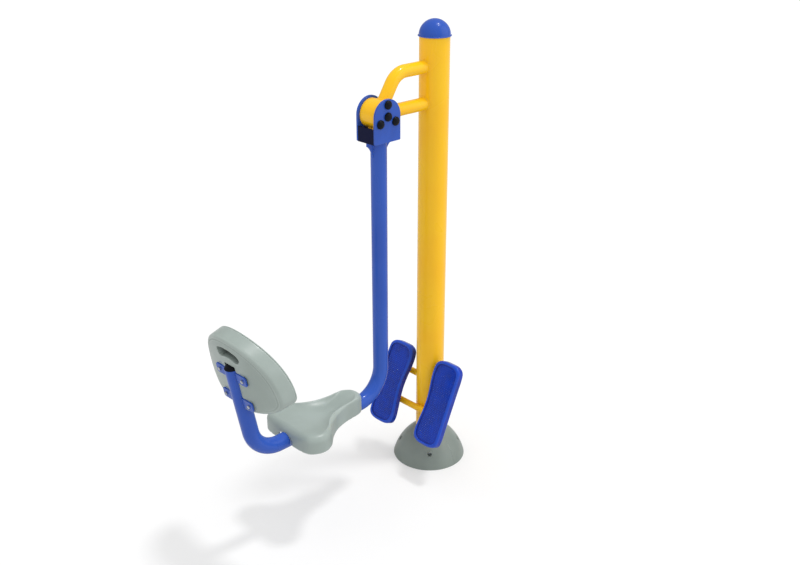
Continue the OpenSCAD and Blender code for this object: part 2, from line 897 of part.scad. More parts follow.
// A closed solid through a stack of rings of n points, shut by a point at each end
module stack(first, rings, last) {
    n = len(rings[0]);
    count = len(rings);
    end = 1 + n * count;
    points = concat([first], [for (ring_points = rings) for (p = ring_points) p], [last]);
    faces = concat(
        [for (i = [0 : n - 1]) [0, 1 + (i + 1) % n, 1 + i]],
        [for (j = [0 : count - 2]) for (i = [0 : n - 1]) for (half = [0, 1])
            let (a = 1 + j * n + i, b = 1 + j * n + (i + 1) % n)
            half == 0 ? [a, b, b + n] : [a, b + n, a + n]],
        [for (i = [0 : n - 1]) [end - n + i, end - n + (i + 1) % n, end]]
    );
    polyhedron(points = points, faces = faces, convexity = 8);
}

// A small shift that keeps an open end's folds off the corners of the hollow in it
off_centre = 3.7;

// Seat: a moulded shell, open below, that straddles the tube

seat_rear_x = rear_bend_x + seat_setback;
seat_edge = 14;
seat_roll = 12;
seat_corner = 3;
seat_rise = 8;
lobe_l = 200;
seat_centre = [148, 0];
seat_ears = [46, 116];
seat_half = [
    [seat_l - 8, nose_w / 2 - 18],
    [seat_l - 40, nose_w / 2],
    [256, waist_w / 2],
    [196, waist_w / 2 + 17],
    [150, (waist_w + seat_w) / 4 - 3],
    [108, seat_w / 2 - 15],
    [66, seat_w / 2],
    [24, seat_w / 2 - 16],
    [4, seat_w / 2 - 52]
];
seat_outline = curve(concat(
    [[seat_l, 0]], seat_half, [[0, 0]],
    [for (i = [len(seat_half) - 1 : -1 : 0]) [seat_half[i][0], -seat_half[i][1]]]
), 3);

// From 0 at a to 1 at b, with a soft start and end
function eased(x, a, b) = let (t = min(max((x - a) / (b - a), 0), 1)) t * t * (3 - 2 * t);

// The rim's height over the tube's axis rises to the nose, the dish is deepest from the waist on,
// and the edge rolls over most round the rear lobes and the nose
function seat_rim_at(x) = seat_rim + seat_rise * (x / seat_l - 0.6);
function seat_dish_at(x) = seat_dish * (0.3 + 0.7 * eased(x, lobe_l / 5, lobe_l));
function seat_roll_at(x) =
    seat_roll * (1 - eased(x, 0.45 * lobe_l, lobe_l) + eased(x, seat_l - 54, seat_l - 8));

// How far a wall's thickness reaches along the line from an outline point to the centre
function seat_reach(i, wall) =
    let (
        n = len(seat_outline),
        t = seat_outline[(i + 1) % n] - seat_outline[(i + n - 1) % n],
        d = seat_centre - seat_outline[i]
    )
        wall * norm(t) * norm(d) / (d * [-t[1], t[0]]);

// A point of the form: the share k of the way out to the edge, then the angle a round the edge
function seat_point(i, wall, k, a) =
    let (
        point = seat_outline[i],
        reach = seat_reach(i, wall),
        whole = seat_edge + seat_roll_at(point[0]),
        edge = max(whole - reach, seat_corner),
        out = norm(point - seat_centre),
        share = k * (out - reach - edge) / (out - whole),
        p = drawn_in(point, seat_centre, reach + edge * (1 - cos(a)), k),
        dished = seat_dish_at(p[0]) * (1 - share * share * share)
    )
        [p[0], p[1], seat_rim_at(p[0]) - dished - wall - (whole - wall) * (1 - sin(a))];
function seat_ring(wall, k, a) =
    [for (i = [0 : len(seat_outline) - 1]) seat_point(i, wall, k, a)];

// The seat's outer form, or the hollow that leaves a wall in it
module seat_form(wall) {
    bottom = seat_skirt - sign(wall) * through;
    middle = seat_centre[0];
    stack(
        [middle, 0, seat_rim_at(middle) - seat_dish_at(middle) - wall],
        concat(
            [for (k = [0.2, 0.4, 0.6, 0.8]) seat_ring(wall, k, 90)],
            [for (a = [90 : -18 : 0]) seat_ring(wall, 1, a)],
            [[for (p = seat_ring(wall, 1, 0)) [p[0], p[1], bottom]]]
        ),
        [seat_centre[0], off_centre, bottom]
    );
}

// Children set on an ear pair under the seat: X up, Z to the rear along the tube
module at_seat_ears() {
    for (x = seat_ears) translate([seat_rear_x + x, 0, seat_tube_z]) rotate([0, -90, 0]) children();
}

module seat_brackets() {
    color(blue) at_seat_ears() ears(seat_ear, 0);
}

module seat_bolts() {
    color(steel) at_seat_ears() ear_bolts(seat_ear, 0);
}

tube_room = tube_r + 3 * gap;
arch_w = 38;

module seat() {
    color(plastic_grey) difference() {
        union() {
            translate([seat_rear_x, 0, seat_tube_z]) difference() {
                seat_form(0);
                seat_form(seat_wall);
            }
            intersection() {
                translate([seat_rear_x, 0, seat_tube_z]) seat_form(1);
                at_seat_ears() for (side = [-1, 1])
                    translate([ear_t / 2, side * (seat_ear - ear_w / 2), 0]) rotate([0, 90, 0])
                        cylinder(r = boss_r, h = 2 * seat_rim);
            }
        }
        translate([seat_rear_x - through, 0, seat_tube_z]) {
            rotate([0, 90, 0]) cylinder(r = tube_room, h = seat_l + 2 * through);
            rotate([90, 0, 90]) linear_extrude(3 * seat_edge) polygon([
                for (a = [-30 : 10 : 210]) [arch_w * cos(a), tube_room * sin(a)]
            ]);
        }
        at_seat_ears() ear_bolts(seat_ear, 0);
    }
}

// Backrest: a deep moulded shell behind and a thin skin in front, both curved round the rider

back_x = -12;
back_belly = 82;
back_edge = 12;
back_taper = 4;
back_groove = 2;
back_groove_w = 8;
back_skin = 6;
back_boss = 20;
back_centre = [0, 120];
back_ear_x = back_x + 1;
back_ears = [154, 262];
slot_z = 350;
back_steps = 60;
back_outline = [
    for (i = [0 : back_steps - 1]) let (a = i * 360 / back_steps)
        [back_w / 2 * cos(a), back_belly + (a < 180 ? back_h - back_belly : back_belly) * sin(a)]
];

// A ring of the backrest at a depth from its rear face; side 1 is seen from behind, -1 from ahead.
// Rings drawn to an open end's middle move aside, off the corners of the hollow in it.
function back_ring(inset, k, depth, side, aside = 0) = [
    for (point = back_outline)
        let (p = drawn_in(point, back_centre, inset, k) + [aside * (1 - k), 0])
        [back_x + back_wrap * pow(p[0] / (back_w / 2), 2) + depth, -side * p[0], back_lift + p[1]]
];
function back_middle(depth, aside = 0) = [
    back_x + back_wrap * pow(aside / (back_w / 2), 2) + depth, -aside, back_lift + back_centre[1]
];

// The rear shell's outer form, or the hollow in it when inset by the wall
module back_form(inset) {
    edge = back_edge - inset / 2;
    face = inset + back_taper + edge;
    mouth = back_t - back_skin + (inset > through ? through : -inset);
    stack(
        back_middle(inset),
        concat(
            [for (k = [0.25, 0.5, 0.75]) back_ring(face + back_groove_w, k, inset, 1)],
            inset > through ? [] : [
                back_ring(face + back_groove_w, 1, inset, 1),
                back_ring(face + back_groove_w / 2, 1, inset + back_groove, 1)
            ],
            [for (a = [90 : -22.5 : 0])
                back_ring(face - edge * cos(a), 1, inset + edge * (1 - sin(a)), 1)],
            [for (k = [1, 0.75, 0.5, 0.25]) back_ring(inset, k, mouth, 1, off_centre)]
        ),
        back_middle(mouth, off_centre)
    );
}

// The hand slot: an arched band with round ends, drawn across X and grown by a wall
module slot_form(grow, l) {
    arch_r = slot_w * 0.9;
    reach = asin((slot_w - slot_h) / 2 / arch_r);
    translate([0, 0, slot_z - arch_r]) rotate([90, 0, 90]) linear_extrude(l) {
        polygon(concat(
            [for (a = [-reach : reach / 8 : reach + 0.01])
                (arch_r + slot_h / 2 + grow) * [sin(a), cos(a)]],
            [for (a = [reach : -reach / 8 : -reach - 0.01])
                (arch_r - slot_h / 2 - grow) * [sin(a), cos(a)]]
        ));
        for (side = [-1, 1]) translate(arch_r * [side * sin(reach), cos(reach)])
            circle(r = slot_h / 2 + grow);
    }
}

module backrest_shell() {
    groove_top = upright_l + plug_h + 2;
    color(plastic_grey) at_upright() difference() {
        union() {
            difference() {
                back_form(0);
                back_form(back_wall);
            }
            intersection() {
                back_form(1);
                union() {
                    cylinder(r = tube_room + back_wall, h = groove_top + back_wall);
                    translate([back_x, 0, 0]) slot_form(back_wall, back_t);
                    for (z = back_ears)
                        translate([back_x, -back_ear - back_wall, z - ear_w / 2 - back_wall])
                            cube([back_boss, 2 * (back_ear + back_wall), ear_w + 2 * back_wall]);
                }
            }
        }
        cylinder(r = tube_room, h = groove_top);
        translate([2 * back_x, 0, 0]) slot_form(0, 3 * back_t);
        for (z = back_ears) translate([0, 0, z]) {
            translate([3 * back_x, -back_ear - gap, -ear_w / 2 - gap]) cube([
                back_ear_x + ear_t / 2 - 3 * back_x, 2 * (back_ear + gap), ear_w + 2 * gap
            ]);
            ear_bolts(back_ear, back_ear_x);
        }
    }
}

module backrest_front() {
    rim = 4;
    color(plastic_grey) at_upright() difference() {
        stack(
            back_middle(back_t),
            concat(
                [for (k = [0.25, 0.5, 0.75]) back_ring(rim, k, back_t, -1)],
                [for (a = [90 : -30 : 0])
                    back_ring(rim * (1 - cos(a)), 1, back_t - rim * (1 - sin(a)), -1)],
                [for (k = [1, 0.75, 0.5, 0.25]) back_ring(0, k, back_t - back_skin + gap, -1)]
            ),
            back_middle(back_t - back_skin + gap)
        );
        translate([2 * back_x, 0, 0]) slot_form(0, 3 * back_t);
    }
}

module back_bracket_upper() {
    color(blue) at_upright() translate([0, 0, back_ears[1]])
        ears(back_ear, back_ear_x);
}

module back_bracket_lower() {
    color(blue) at_upright() translate([0, 0, back_ears[0]])
        ears(back_ear, back_ear_x);
}

module back_bolts() {
    color(steel) at_upright() for (z = back_ears) translate([0, 0, z])
        ear_bolts(back_ear, back_ear_x);
}

post();
post_cap();
base_flange();
base_ribs();
cover_tabs();
base_cover_rear();
base_cover_front();
cover_screws();
upper_arm();
lower_arm();
bearing_barrel();
bearing_carriers();
bearing_outer_rings();
stop_block();
pedal_bar_lower();
pedal_bar_upper();
bar_plugs();
pedal_plate_left();
pedal_plate_right();
pedal_left();
pedal_right();
pedal_bolts();
pivot_axle();
hub_flanges();
bearing_inner_rings();
bearing_balls();
yoke_plate_left();
yoke_plate_right();
yoke_base_plate();
yoke_back_plate();
yoke_front_bar();
rest_buffer();
limit_buffer();
yoke_gussets();
flange_bolts();
axle_bolts();
bolt_caps();
swing_tube();
tube_plug();
seat_brackets();
seat();
seat_bolts();
back_bracket_upper();
back_bracket_lower();
back_bolts();
backrest_shell();
backrest_front();
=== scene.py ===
# An outdoor leg press machine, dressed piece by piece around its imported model. Sizes are in
# millimetres, and each mesh is turned to metres as it becomes a piece.
from math import acos, asin, cos, degrees, pi, radians, sin, sqrt, tan

import bpy
import bmesh
import numpy as np
from mathutils import Matrix, Vector


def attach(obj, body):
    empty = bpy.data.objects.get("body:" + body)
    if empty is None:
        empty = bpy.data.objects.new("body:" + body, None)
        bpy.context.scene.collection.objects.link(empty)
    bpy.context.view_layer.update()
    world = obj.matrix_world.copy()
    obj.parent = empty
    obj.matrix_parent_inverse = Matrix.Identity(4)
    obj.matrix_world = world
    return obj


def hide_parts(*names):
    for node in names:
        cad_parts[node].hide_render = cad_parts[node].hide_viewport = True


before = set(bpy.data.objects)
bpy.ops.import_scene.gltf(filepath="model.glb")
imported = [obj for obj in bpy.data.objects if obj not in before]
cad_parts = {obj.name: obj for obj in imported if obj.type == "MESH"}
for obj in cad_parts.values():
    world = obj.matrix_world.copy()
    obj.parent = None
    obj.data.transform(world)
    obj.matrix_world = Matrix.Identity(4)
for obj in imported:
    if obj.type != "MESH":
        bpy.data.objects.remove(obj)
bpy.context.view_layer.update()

# The view: a pale studio floor, a broad soft light overhead, a weaker one from the camera's right,
# and a camera at the picture's angle. Places here are in metres.
scene = bpy.context.scene


def in_scene(name, data):
    """A new object of the scene."""
    made = bpy.data.objects.new(name, data)
    scene.collection.objects.link(made)
    return made


camera_data = bpy.data.cameras.new("camera")
camera_data.lens = 43.2
camera_data.sensor_width = 36.0
camera = in_scene("camera", camera_data)
camera_yaw = radians(45.36)
camera_pitch = radians(23.95)
camera.location = (-2.5812, -2.4343, 2.3786)
camera.rotation_euler = Vector((
    cos(camera_yaw) * cos(camera_pitch),
    sin(camera_yaw) * cos(camera_pitch),
    -sin(camera_pitch),
)).to_track_quat("-Z", "Y").to_euler()
scene.camera = camera
scene.view_settings.view_transform = "Standard"


def light(name, aim, spread, strength):
    """An even soft light that shines along aim, spread over so many degrees."""
    data = bpy.data.lights.new(name, "SUN")
    data.angle = radians(spread)
    data.energy = strength
    made = in_scene(name, data)
    made.rotation_euler = Vector(aim).to_track_quat("-Z", "Y").to_euler()


light("light_over", (-0.27, 0.20, -1.0), spread=8, strength=1.05)
light("light_right", (-0.55, 0.75, -0.35), spread=60, strength=0.5)


class Wire:
    """One output in a material. Arithmetic on it adds Math nodes."""

    def __init__(self, finish, socket):
        self.finish = finish
        self.socket = socket

    def math(self, operation, first, second):
        return self.finish.node("Math", {0: first, 1: second}, operation=operation)

    def __add__(self, other):
        return self.math("ADD", self, other)

    def __sub__(self, other):
        return self.math("SUBTRACT", self, other)

    def __rsub__(self, other):
        return self.math("SUBTRACT", other, self)

    def __mul__(self, other):
        return self.math("MULTIPLY", self, other)

    __radd__ = __add__
    __rmul__ = __mul__

    def larger(self, other):
        return self.math("MAXIMUM", self, other)

    def between(self, low, high):
        """0 below low, 1 above high, and a smooth rise from one to the other."""
        inputs = {0: self, 1: low, 2: high, 3: 0.0, 4: 1.0}
        return self.finish.node("MapRange", inputs, interpolation_type="SMOOTHSTEP")


class Finish:
    """A material, or the world, whose nodes are added one call at a time."""

    def __init__(self, name, owner=None):
        self.material = owner or bpy.data.materials.new(name)
        self.material.use_nodes = True
        self.tree = self.material.node_tree
        self.tree.nodes.clear()

    def node(self, kind, inputs, out=0, **settings):
        made = self.tree.nodes.new("ShaderNode" + kind)
        for key, value in settings.items():
            setattr(made, key, value)
        for key, value in inputs.items():
            if isinstance(value, Wire):
                self.tree.links.new(value.socket, made.inputs[key])
            else:
                made.inputs[key].default_value = value
        return Wire(self, made.outputs[out]) if made.outputs else None

    def mix(self, share, first, second):
        """Two colours mixed by a share."""
        return self.node("Mix", {0: share, 6: first, 7: second}, 2, data_type="RGBA")

    def noise(self, scale, detail=2.0, stretch=(1, 1, 1)):
        """Smooth noise of so many cells a metre, from 0 to 1, squeezed along the axes."""
        place = self.node("TexCoord", {}, "Object")
        drawn = self.node("VectorMath", {0: place, 1: stretch}, operation="MULTIPLY")
        return self.node("TexNoise", {"Vector": drawn, "Scale": scale, "Detail": detail})

    def mark(self, name):
        """A value kept on the mesh, such as how sharp an edge is."""
        return self.node("Attribute", {}, "Fac", attribute_name=name)

    def surface(self, base, rough, height, depth, **fixed):
        """The shader, with a bump of height times depth metres. What is fixed is set on it."""
        bump = self.node("Bump", {"Strength": 1.0, "Distance": depth, "Height": height})
        inputs = {"Base Color": base, "Roughness": rough, "Normal": bump}
        inputs.update({key.replace("_", " "): value for key, value in fixed.items()})
        self.node("OutputMaterial", {"Surface": self.node("BsdfPrincipled", inputs)})
        return self.material


def tint(red, green, blue):
    """A colour given as 0 to 255 on a screen, in the shader's own scale."""
    return tuple(
        part / 12.92 if part <= 0.04045 else ((part + 0.055) / 1.055) ** 2.4
        for part in (red / 255, green / 255, blue / 255)
    ) + (1.0,)


def seen_plainly(finish):
    """1 for the rays that show the backdrop itself, straight or through glass."""
    straight = finish.node("LightPath", {}, "Is Camera Ray")
    return straight.larger(finish.node("LightPath", {}, "Is Transmission Ray"))


world = bpy.data.worlds.new("studio")
scene.world = world
air = Finish("studio", world)
white = (1.0, 1.0, 1.0, 1.0)
air_level = 0.92
gloss_level = 0.38
in_gloss = air.node("LightPath", {}, "Is Glossy Ray")
air.node("OutputWorld", {"Surface": air.node("Background", {
    "Color": white,
    "Strength": air_level + (1.0 - air_level) * seen_plainly(air)
    - (air_level - gloss_level) * in_gloss,
})})

floor_finish = Finish("studio_floor")
floor_grain = floor_finish.noise(3.0)
floor_matt = floor_finish.node("BsdfDiffuse", {
    "Color": floor_finish.mix(floor_grain, tint(200, 200, 200), tint(203, 203, 203)),
})
floor_glow = 0.29
floor_lift = floor_finish.node("Emission", {
    "Color": white, "Strength": floor_glow * seen_plainly(floor_finish),
})
floor_finish.node("OutputMaterial", {
    "Surface": floor_finish.node("AddShader", {0: floor_matt, 1: floor_lift}),
})
floor_mesh = bpy.data.meshes.new("floor")
floor_reach = 40.0
floor_mesh.from_pydata(
    [(x * floor_reach, y * floor_reach, 0.0) for x, y in ((-1, -1), (1, -1), (1, 1), (-1, 1))],
    [], [range(4)],
)
floor_mesh.materials.append(floor_finish.material)
floor = in_scene("floor", floor_mesh)

# The post: a drawn steel tube of 114.3 mm, welded to its flange and powder coated yellow after
# welding, so that the weld beads on it carry the same coat.
MM = 0.001
CURL = 0.006
crease = radians(50)


def read(rows, key, width=1, kind=float):
    """One value of all the rows of a mesh's table, in so many columns."""
    values = np.empty(len(rows) * width, kind)
    rows.foreach_get(key, values)
    return values.reshape(-1, width) if width > 1 else values


def keep(mesh, name, value):
    """Keeps a value for each point, which a material can read by its name."""
    mesh.attributes.new(name, "FLOAT", "POINT").data.foreach_set("value", value.astype(np.float32))


def mark_curves(mesh):
    """Keeps on each point how sharply the surface turns there: 1 is a 6 mm radius or less."""
    normal, centre = read(mesh.polygons, "normal", 3), read(mesh.polygons, "center", 3)
    loop_edge = read(mesh.loops, "edge_index", kind=int)
    loops = read(mesh.polygons, "loop_total", kind=int)
    order = np.argsort(loop_edge, kind="stable")
    edge, face = loop_edge[order], np.repeat(np.arange(len(loops)), loops)[order]
    pair = np.flatnonzero(edge[1:] == edge[:-1])
    one, two = face[pair], face[pair + 1]
    step = centre[two] - centre[one]
    turn = np.arccos(np.clip((normal[one] * normal[two]).sum(1), -1, 1))
    curve = turn / np.maximum(np.linalg.norm(step, axis=1), 1e-6) * CURL
    outward = np.where((normal[one] * step).sum(1) < 0, 1.0, -1.0)
    both = read(mesh.edges, "vertices", 2, int)[edge[pair]]
    for name, sign in (("edge", 1.0), ("hollow", -1.0)):
        value = np.zeros(len(mesh.vertices))
        for end in (0, 1):
            np.maximum.at(value, both[:, end], np.clip(curve * outward * sign, 0, 1))
        keep(mesh, name, value)


class Shape:
    """Points in millimetres and faces, gathered from closed bodies."""

    def __init__(self, *bodies):
        self.points = []
        self.faces = []
        for body in bodies:
            self.add(body)

    def add(self, body, place=Matrix.Identity(4)):
        points, faces = body
        base = len(self.points)
        self.points += [place @ Vector(p) for p in points]
        self.faces += [[base + i for i in f] for f in faces]
        return self

    @property
    def body(self):
        return self.points, self.faces

    def mesh(self, name):
        made = bpy.data.meshes.new(name)
        made.from_pydata([p * MM for p in self.points], [], self.faces)
        work = bmesh.new()
        work.from_mesh(made)
        bmesh.ops.recalc_face_normals(work, faces=work.faces)
        work.to_mesh(made)
        work.free()
        return made


def circle(steps):
    """The angles of so many equal steps round a full turn."""
    return [2 * pi * i / steps for i in range(steps)]


def moved(x, y, z):
    return Matrix.Translation((x, y, z))


def squared(axis, turns=1):
    """A rotation by quarter turns about an axis."""
    return Matrix.Rotation(turns * pi / 2, 4, axis)


def loft(rings, shut=True):
    """A body through rings of equally many points. Shut ends are flat; else it closes on itself."""
    n = len(rings[0])
    count = len(rings)
    points = [p for ring in rings for p in ring]
    faces = []
    for j in range(count - 1 if shut else count):
        here, there = j * n, (j + 1) % count * n
        for i in range(n):
            k = (i + 1) % n
            faces.append([here + i, here + k, there + k, there + i])
    if shut:
        faces += [list(range(n))[::-1], [(count - 1) * n + i for i in range(n)]]
    return points, faces


def turned(profile, steps=96, ring=True):
    """A body turned about Z from a closed profile of (radius, height), or an open one whose ends
    lie on the axis."""
    count = len(profile)
    points = []
    index = []
    for radius, height in profile:
        if radius < 1e-6:
            index.append([len(points)] * steps)
            points.append((0.0, 0.0, height))
        else:
            index.append([len(points) + i for i in range(steps)])
            points += [(radius * cos(a), radius * sin(a), height) for a in circle(steps)]
    faces = []
    for j in range(count if ring else count - 1):
        low, high = index[j], index[(j + 1) % count]
        for i in range(steps):
            k = (i + 1) % steps
            corners = list(dict.fromkeys([low[i], low[k], high[k], high[i]]))
            if len(corners) > 2:
                faces.append(corners)
    return points, faces


def rod(radius, low, high, steps):
    """A plain round rod along Z, mostly used as a cutter."""
    return turned([(0, low), (radius, low), (radius, high), (0, high)], steps, ring=False)


def arc(centre, radius, start, end, steps):
    """Points in a plane on an arc, its angles in degrees."""
    return [
        (centre[0] + radius * cos(a), centre[1] + radius * sin(a))
        for a in (radians(start + (end - start) * i / steps) for i in range(steps + 1))
    ]


def piece(name, dress, mesh, *nodes, smooth=True):
    """A finished piece of the object, from a mesh, a Shape or one body. Its dress is the body it
    rides, its slot, which is not used, and its finish, and the nodes are those it replaces."""
    body, slot, finish = dress
    if isinstance(mesh, tuple):
        mesh = Shape(mesh)
    if isinstance(mesh, Shape):
        mesh = mesh.mesh(name)
    mesh.name = name
    mark_curves(mesh)
    mesh.materials.clear()
    mesh.materials.append(finish)
    mesh.polygons.foreach_set("use_smooth", [True] * len(mesh.polygons))
    made = in_scene(name, mesh)
    if smooth:
        mesh.set_sharp_from_angle(angle=crease)
        even = made.modifiers.new("even_shading", "WEIGHTED_NORMAL")
        even.keep_sharp = True
    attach(made, body)
    if nodes:
        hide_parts(*nodes)
    return made


def ripple(run, pitch):
    """How a weld bead swells and thins along its run."""
    return 0.93 + 0.09 * sin(2 * pi * run / pitch)


def hoop(place, out, across, size, sides):
    """Points round a place, in the plane of two directions."""
    return [place + (out * cos(a) + across * sin(a)) * size for a in circle(sides)]


def bead(path, axis, radius=3.2, pitch=4.5, sides=10):
    """A weld bead along a closed line round an axis, laid in overlapping ripples."""
    path = [Vector(p) for p in path]
    count = len(path)
    rings = []
    run = 0.0
    for j, place in enumerate(path):
        along = (path[(j + 1) % count] - path[j - 1]).normalized()
        out = (Vector(axis) - along * along.dot(Vector(axis))).normalized()
        across = along.cross(out)
        rings.append(hoop(place, out, across, radius * ripple(run, pitch), sides))
        run += (path[(j + 1) % count] - place).length
    return loft(rings, shut=False)


def coated_steel(name, colour, shade):
    """Powder coat on steel: a faint orange peel, clouding, and small dull chips on the edges."""
    coat = Finish(name)
    cloud = coat.noise(4.0)
    chips = (coat.mark("edge").between(0.75, 1.0) * coat.noise(330.0).between(0.60, 0.66))
    scuffs = coat.noise(60.0, 4.0, (1.0, 1.0, 0.12)).between(0.60, 0.74)
    # Hollows and creases go darker in patches.
    hollow_darkening = coat.mark("hollow").between(0.25, 1.0) * coat.noise(45.0).between(0.35, 0.75)
    tone = coat.mix(0.30 * cloud.between(0.35, 0.75) + 0.45 * hollow_darkening, colour, shade)
    base = coat.mix(0.5 * chips, tone, tint(120, 122, 124))
    rough = 0.24 + 0.07 * cloud + 0.08 * scuffs + 0.25 * chips + 0.18 * hollow_darkening
    height = 0.5 * coat.noise(380.0, 1.0) - 0.6 * chips + 0.25 * coat.noise(90.0)
    return coat.surface(
        base, rough, height, 0.00012, Specular_IOR_Level=0.2, Coat_Weight=0.35, Coat_Roughness=0.06
    )


yellow_coat = coated_steel("yellow_powder_coat", tint(255, 200, 26), tint(255, 168, 18))
post_yellow = ("frame", "post_yellow", yellow_coat)
post_radius = 57.15
post_wall = 4.0
flange_top = 12.0
post_top = 1788.0
post_inner = post_radius - post_wall


def pipe(inner, outer, low, high, edge, steps):
    """A tube along Z whose outer edges are eased."""
    return turned([
        (inner, low), (outer - edge, low), (outer, low + edge), (outer, high - edge),
        (outer - edge, high), (inner, high),
    ], steps)


piece("post_tube", post_yellow, pipe(post_inner, post_radius, flange_top, post_top, 0.8, 128),
      "post")


def post_saddle(height, radius, steps=152):
    """Where a level rod of a radius along X meets the post's side to the rider."""
    return [
        (-sqrt(post_radius ** 2 - (radius * cos(a)) ** 2), radius * cos(a),
         height + radius * sin(a)) for a in circle(steps)
    ]


arm_radius = 24.15
upper_arm_height = 1678.0
hub_x = -285.0
hub_height = 1543.0
post_welds = Shape()
for weld_height in (upper_arm_height, hub_height):
    post_welds.add(bead(post_saddle(weld_height, arm_radius), (1, 0, 0)))
piece("post_weld_beads", post_yellow, post_welds)

# The post's cap: a spun steel dome with a rolled rim, pressed over the tube's end on a spigot
# and coated blue.
blue_coat = coated_steel("blue_powder_coat", tint(46, 88, 186), tint(32, 66, 156))
cap_rim_radius = 62.5
cap_bead = 2.5
cap_dome = 59.1
cap_foot = 1783.0
cap_rise = 3.0
cap_wall = 3.5
spigot = post_inner - 0.1
cap_profile = (
    [(post_radius + 0.1, cap_foot)]
    + arc((cap_rim_radius - cap_bead, cap_foot + cap_bead), cap_bead, -90, 90, 8)
    + [(cap_dome + 0.25, cap_foot + 5.05), (cap_dome - 0.05, cap_foot + 5.5)]
    + arc((0.0, cap_foot + cap_rise), cap_dome, 5, 89, 40)
    + [(0.0, cap_foot + cap_rise + cap_dome)]
)
cap_inside = (
    [(0.0, cap_foot + cap_rise + cap_dome - cap_wall)]
    + arc((0.0, cap_foot + cap_rise), cap_dome - cap_wall, 86, 26, 16)
    + [(spigot - cap_wall, cap_foot - 30), (spigot, cap_foot - 30), (spigot, post_top - 0.1),
       (post_radius + 0.1, post_top - 0.1)]
)
piece("post_dome_cap", ("frame", "cap_blue", blue_coat), turned(cap_profile + cap_inside, 128),
      "post_cap")

# The base: a flange with anchor holes, four ribs and four tabs, all welded to the post and coated
# with it. The cover hides them. Its screws are plain zinc-plated button heads.


def hidden_node(node, finish):
    """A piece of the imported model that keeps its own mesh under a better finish."""
    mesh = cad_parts[node].data
    mesh.materials.clear()
    mesh.materials.append(finish)


def plated_metal(name, colour, shade, rough):
    """Bright metal with cloudy plating and fine rubbed lines."""
    metal = Finish(name)
    cloud = metal.noise(70.0, 3.0)
    rubbed = metal.noise(240.0, 2.0, (1.0, 1.0, 0.1))
    stain = metal.mark("hollow").between(0.2, 1.0)
    base = metal.mix(cloud.between(0.35, 0.7) * 0.6 + 0.4 * stain, colour, shade)
    return metal.surface(
        base, rough + 0.16 * cloud + 0.12 * stain, 0.6 * rubbed + 0.4 * cloud, 0.00006, Metallic=1.0
    )


plated_steel = plated_metal("zinc_plated_steel", tint(196, 200, 204), tint(150, 154, 160), 0.22)
for base_node in ("base_flange", "base_ribs", "cover_tabs"):
    hidden_node(base_node, yellow_coat)
hidden_node("cover_screws", plated_steel)

# The base cover: two moulded halves of grey plastic that close round the post, their meeting
# line across it. A round pocket in each quarter holds a screw.


def moulded_plastic(name, colour, shade, wear_and_sheen):
    """Matt moulded plastic: fine grain, faint flow clouding, darker hollows, rounded edges lighter
    as wear polish and painted highlight, and painted shade deep in the hand slot.
    """
    plastic = Finish(name)
    cloud = plastic.noise(7.0, 3.0)
    speck = plastic.noise(900.0, 1.0).between(0.62, 0.72)
    # Hollows and creases, which go darker.
    hollow_darkening = plastic.mark("hollow").between(0.15, 0.9)
    # Rounded edges, which stand for wear polish and for a painted highlight.
    rubbed = plastic.mark("edge").between(0.20, 0.75)
    tone = plastic.mix(0.45 * cloud.between(0.3, 0.7) + 0.10 * speck, colour, shade)
    tone = plastic.mix(0.35 * hollow_darkening, tone, shade)
    # Rounded edges go to the lighter colour: part wear polish, part painted highlight.
    tone = plastic.mix(0.40 * rubbed, tone, wear_and_sheen)
    # Points deep in the hand slot go dark grey-green: painted shade.
    base = plastic.mix(0.80 * plastic.mark("deep"), tone, tint(58, 66, 62))
    rough = 0.29 + 0.08 * cloud + 0.10 * hollow_darkening - 0.05 * rubbed
    height = 0.7 * plastic.noise(1300.0, 1.0) + 0.3 * plastic.noise(160.0)
    return plastic.surface(base, rough, height, 0.00010)


# The third colour is for rounded edges: wear polish and a painted highlight.
grey_plastic = moulded_plastic(
    "grey_moulded_plastic", tint(160, 172, 167), tint(138, 150, 144), tint(182, 193, 188)
)


def evaluated(made):
    """An object's final mesh, with its modifiers or its curve's depth applied."""
    bpy.context.view_layer.update()
    return bpy.data.meshes.new_from_object(
        made.evaluated_get(bpy.context.evaluated_depsgraph_get())
    )


def moulded(name, shell, steps, grain=None, rounds=0, place=Matrix.Identity(4)):
    """A moulding: a form cut and joined in steps, then, where a grain is given, its skin drawn
    over evenly and its edges eased."""
    body = in_scene(name + "_form", shell.mesh(name + "_form"))
    tools = [in_scene(name + "_tool", shape.mesh(name + "_tool")) for _, shape in steps]
    for tool, (operation, _) in zip(tools, steps):
        step = body.modifiers.new("step", "BOOLEAN")
        step.operation = operation
        step.solver = "MANIFOLD"
        step.object = tool
    if grain:
        skin = body.modifiers.new("skin", "REMESH")
        skin.mode = "VOXEL"
        skin.voxel_size = grain * MM
        ease = body.modifiers.new("ease", "SMOOTH")
        ease.factor = 0.5
        ease.iterations = rounds
    mesh = evaluated(body)
    for made in [body] + tools:
        bpy.data.objects.remove(made)
    mesh.transform(Matrix.Scale(MM, 4) @ place @ Matrix.Scale(1 / MM, 4))
    return mesh


def oblong(x0, y0, x1, y1):
    """A rectangle's outline, from two of its corners."""
    return [(x0, y0), (x1, y0), (x1, y1), (x0, y1)]


def block(low, high):
    """A plain rectangular body, used as a cutter."""
    (x0, y0, z0), (x1, y1, z1) = low, high
    return loft([[(x, y, z) for x, y in oblong(x0, y0, x1, y1)] for z in (z0, z1)])


cover_wall = 4.0
cover_arc = 233.0
cover_arc_centre = (-72.6, -60.1)
screw_height = 62.0
screw_seat = 114.0


def cover_rise(inset, count=48):
    """The cover's rounded side, from its foot to the post, as (radius, height)."""
    reach = cover_arc - inset
    low = asin(-cover_arc_centre[1] / reach)
    high = acos((post_radius + 1 - cover_arc_centre[0]) / reach)
    return [
        (cover_arc_centre[0] + reach * cos(low + (high - low) * i / count),
         cover_arc_centre[1] + reach * sin(low + (high - low) * i / count))
        for i in range(count + 1)
    ]


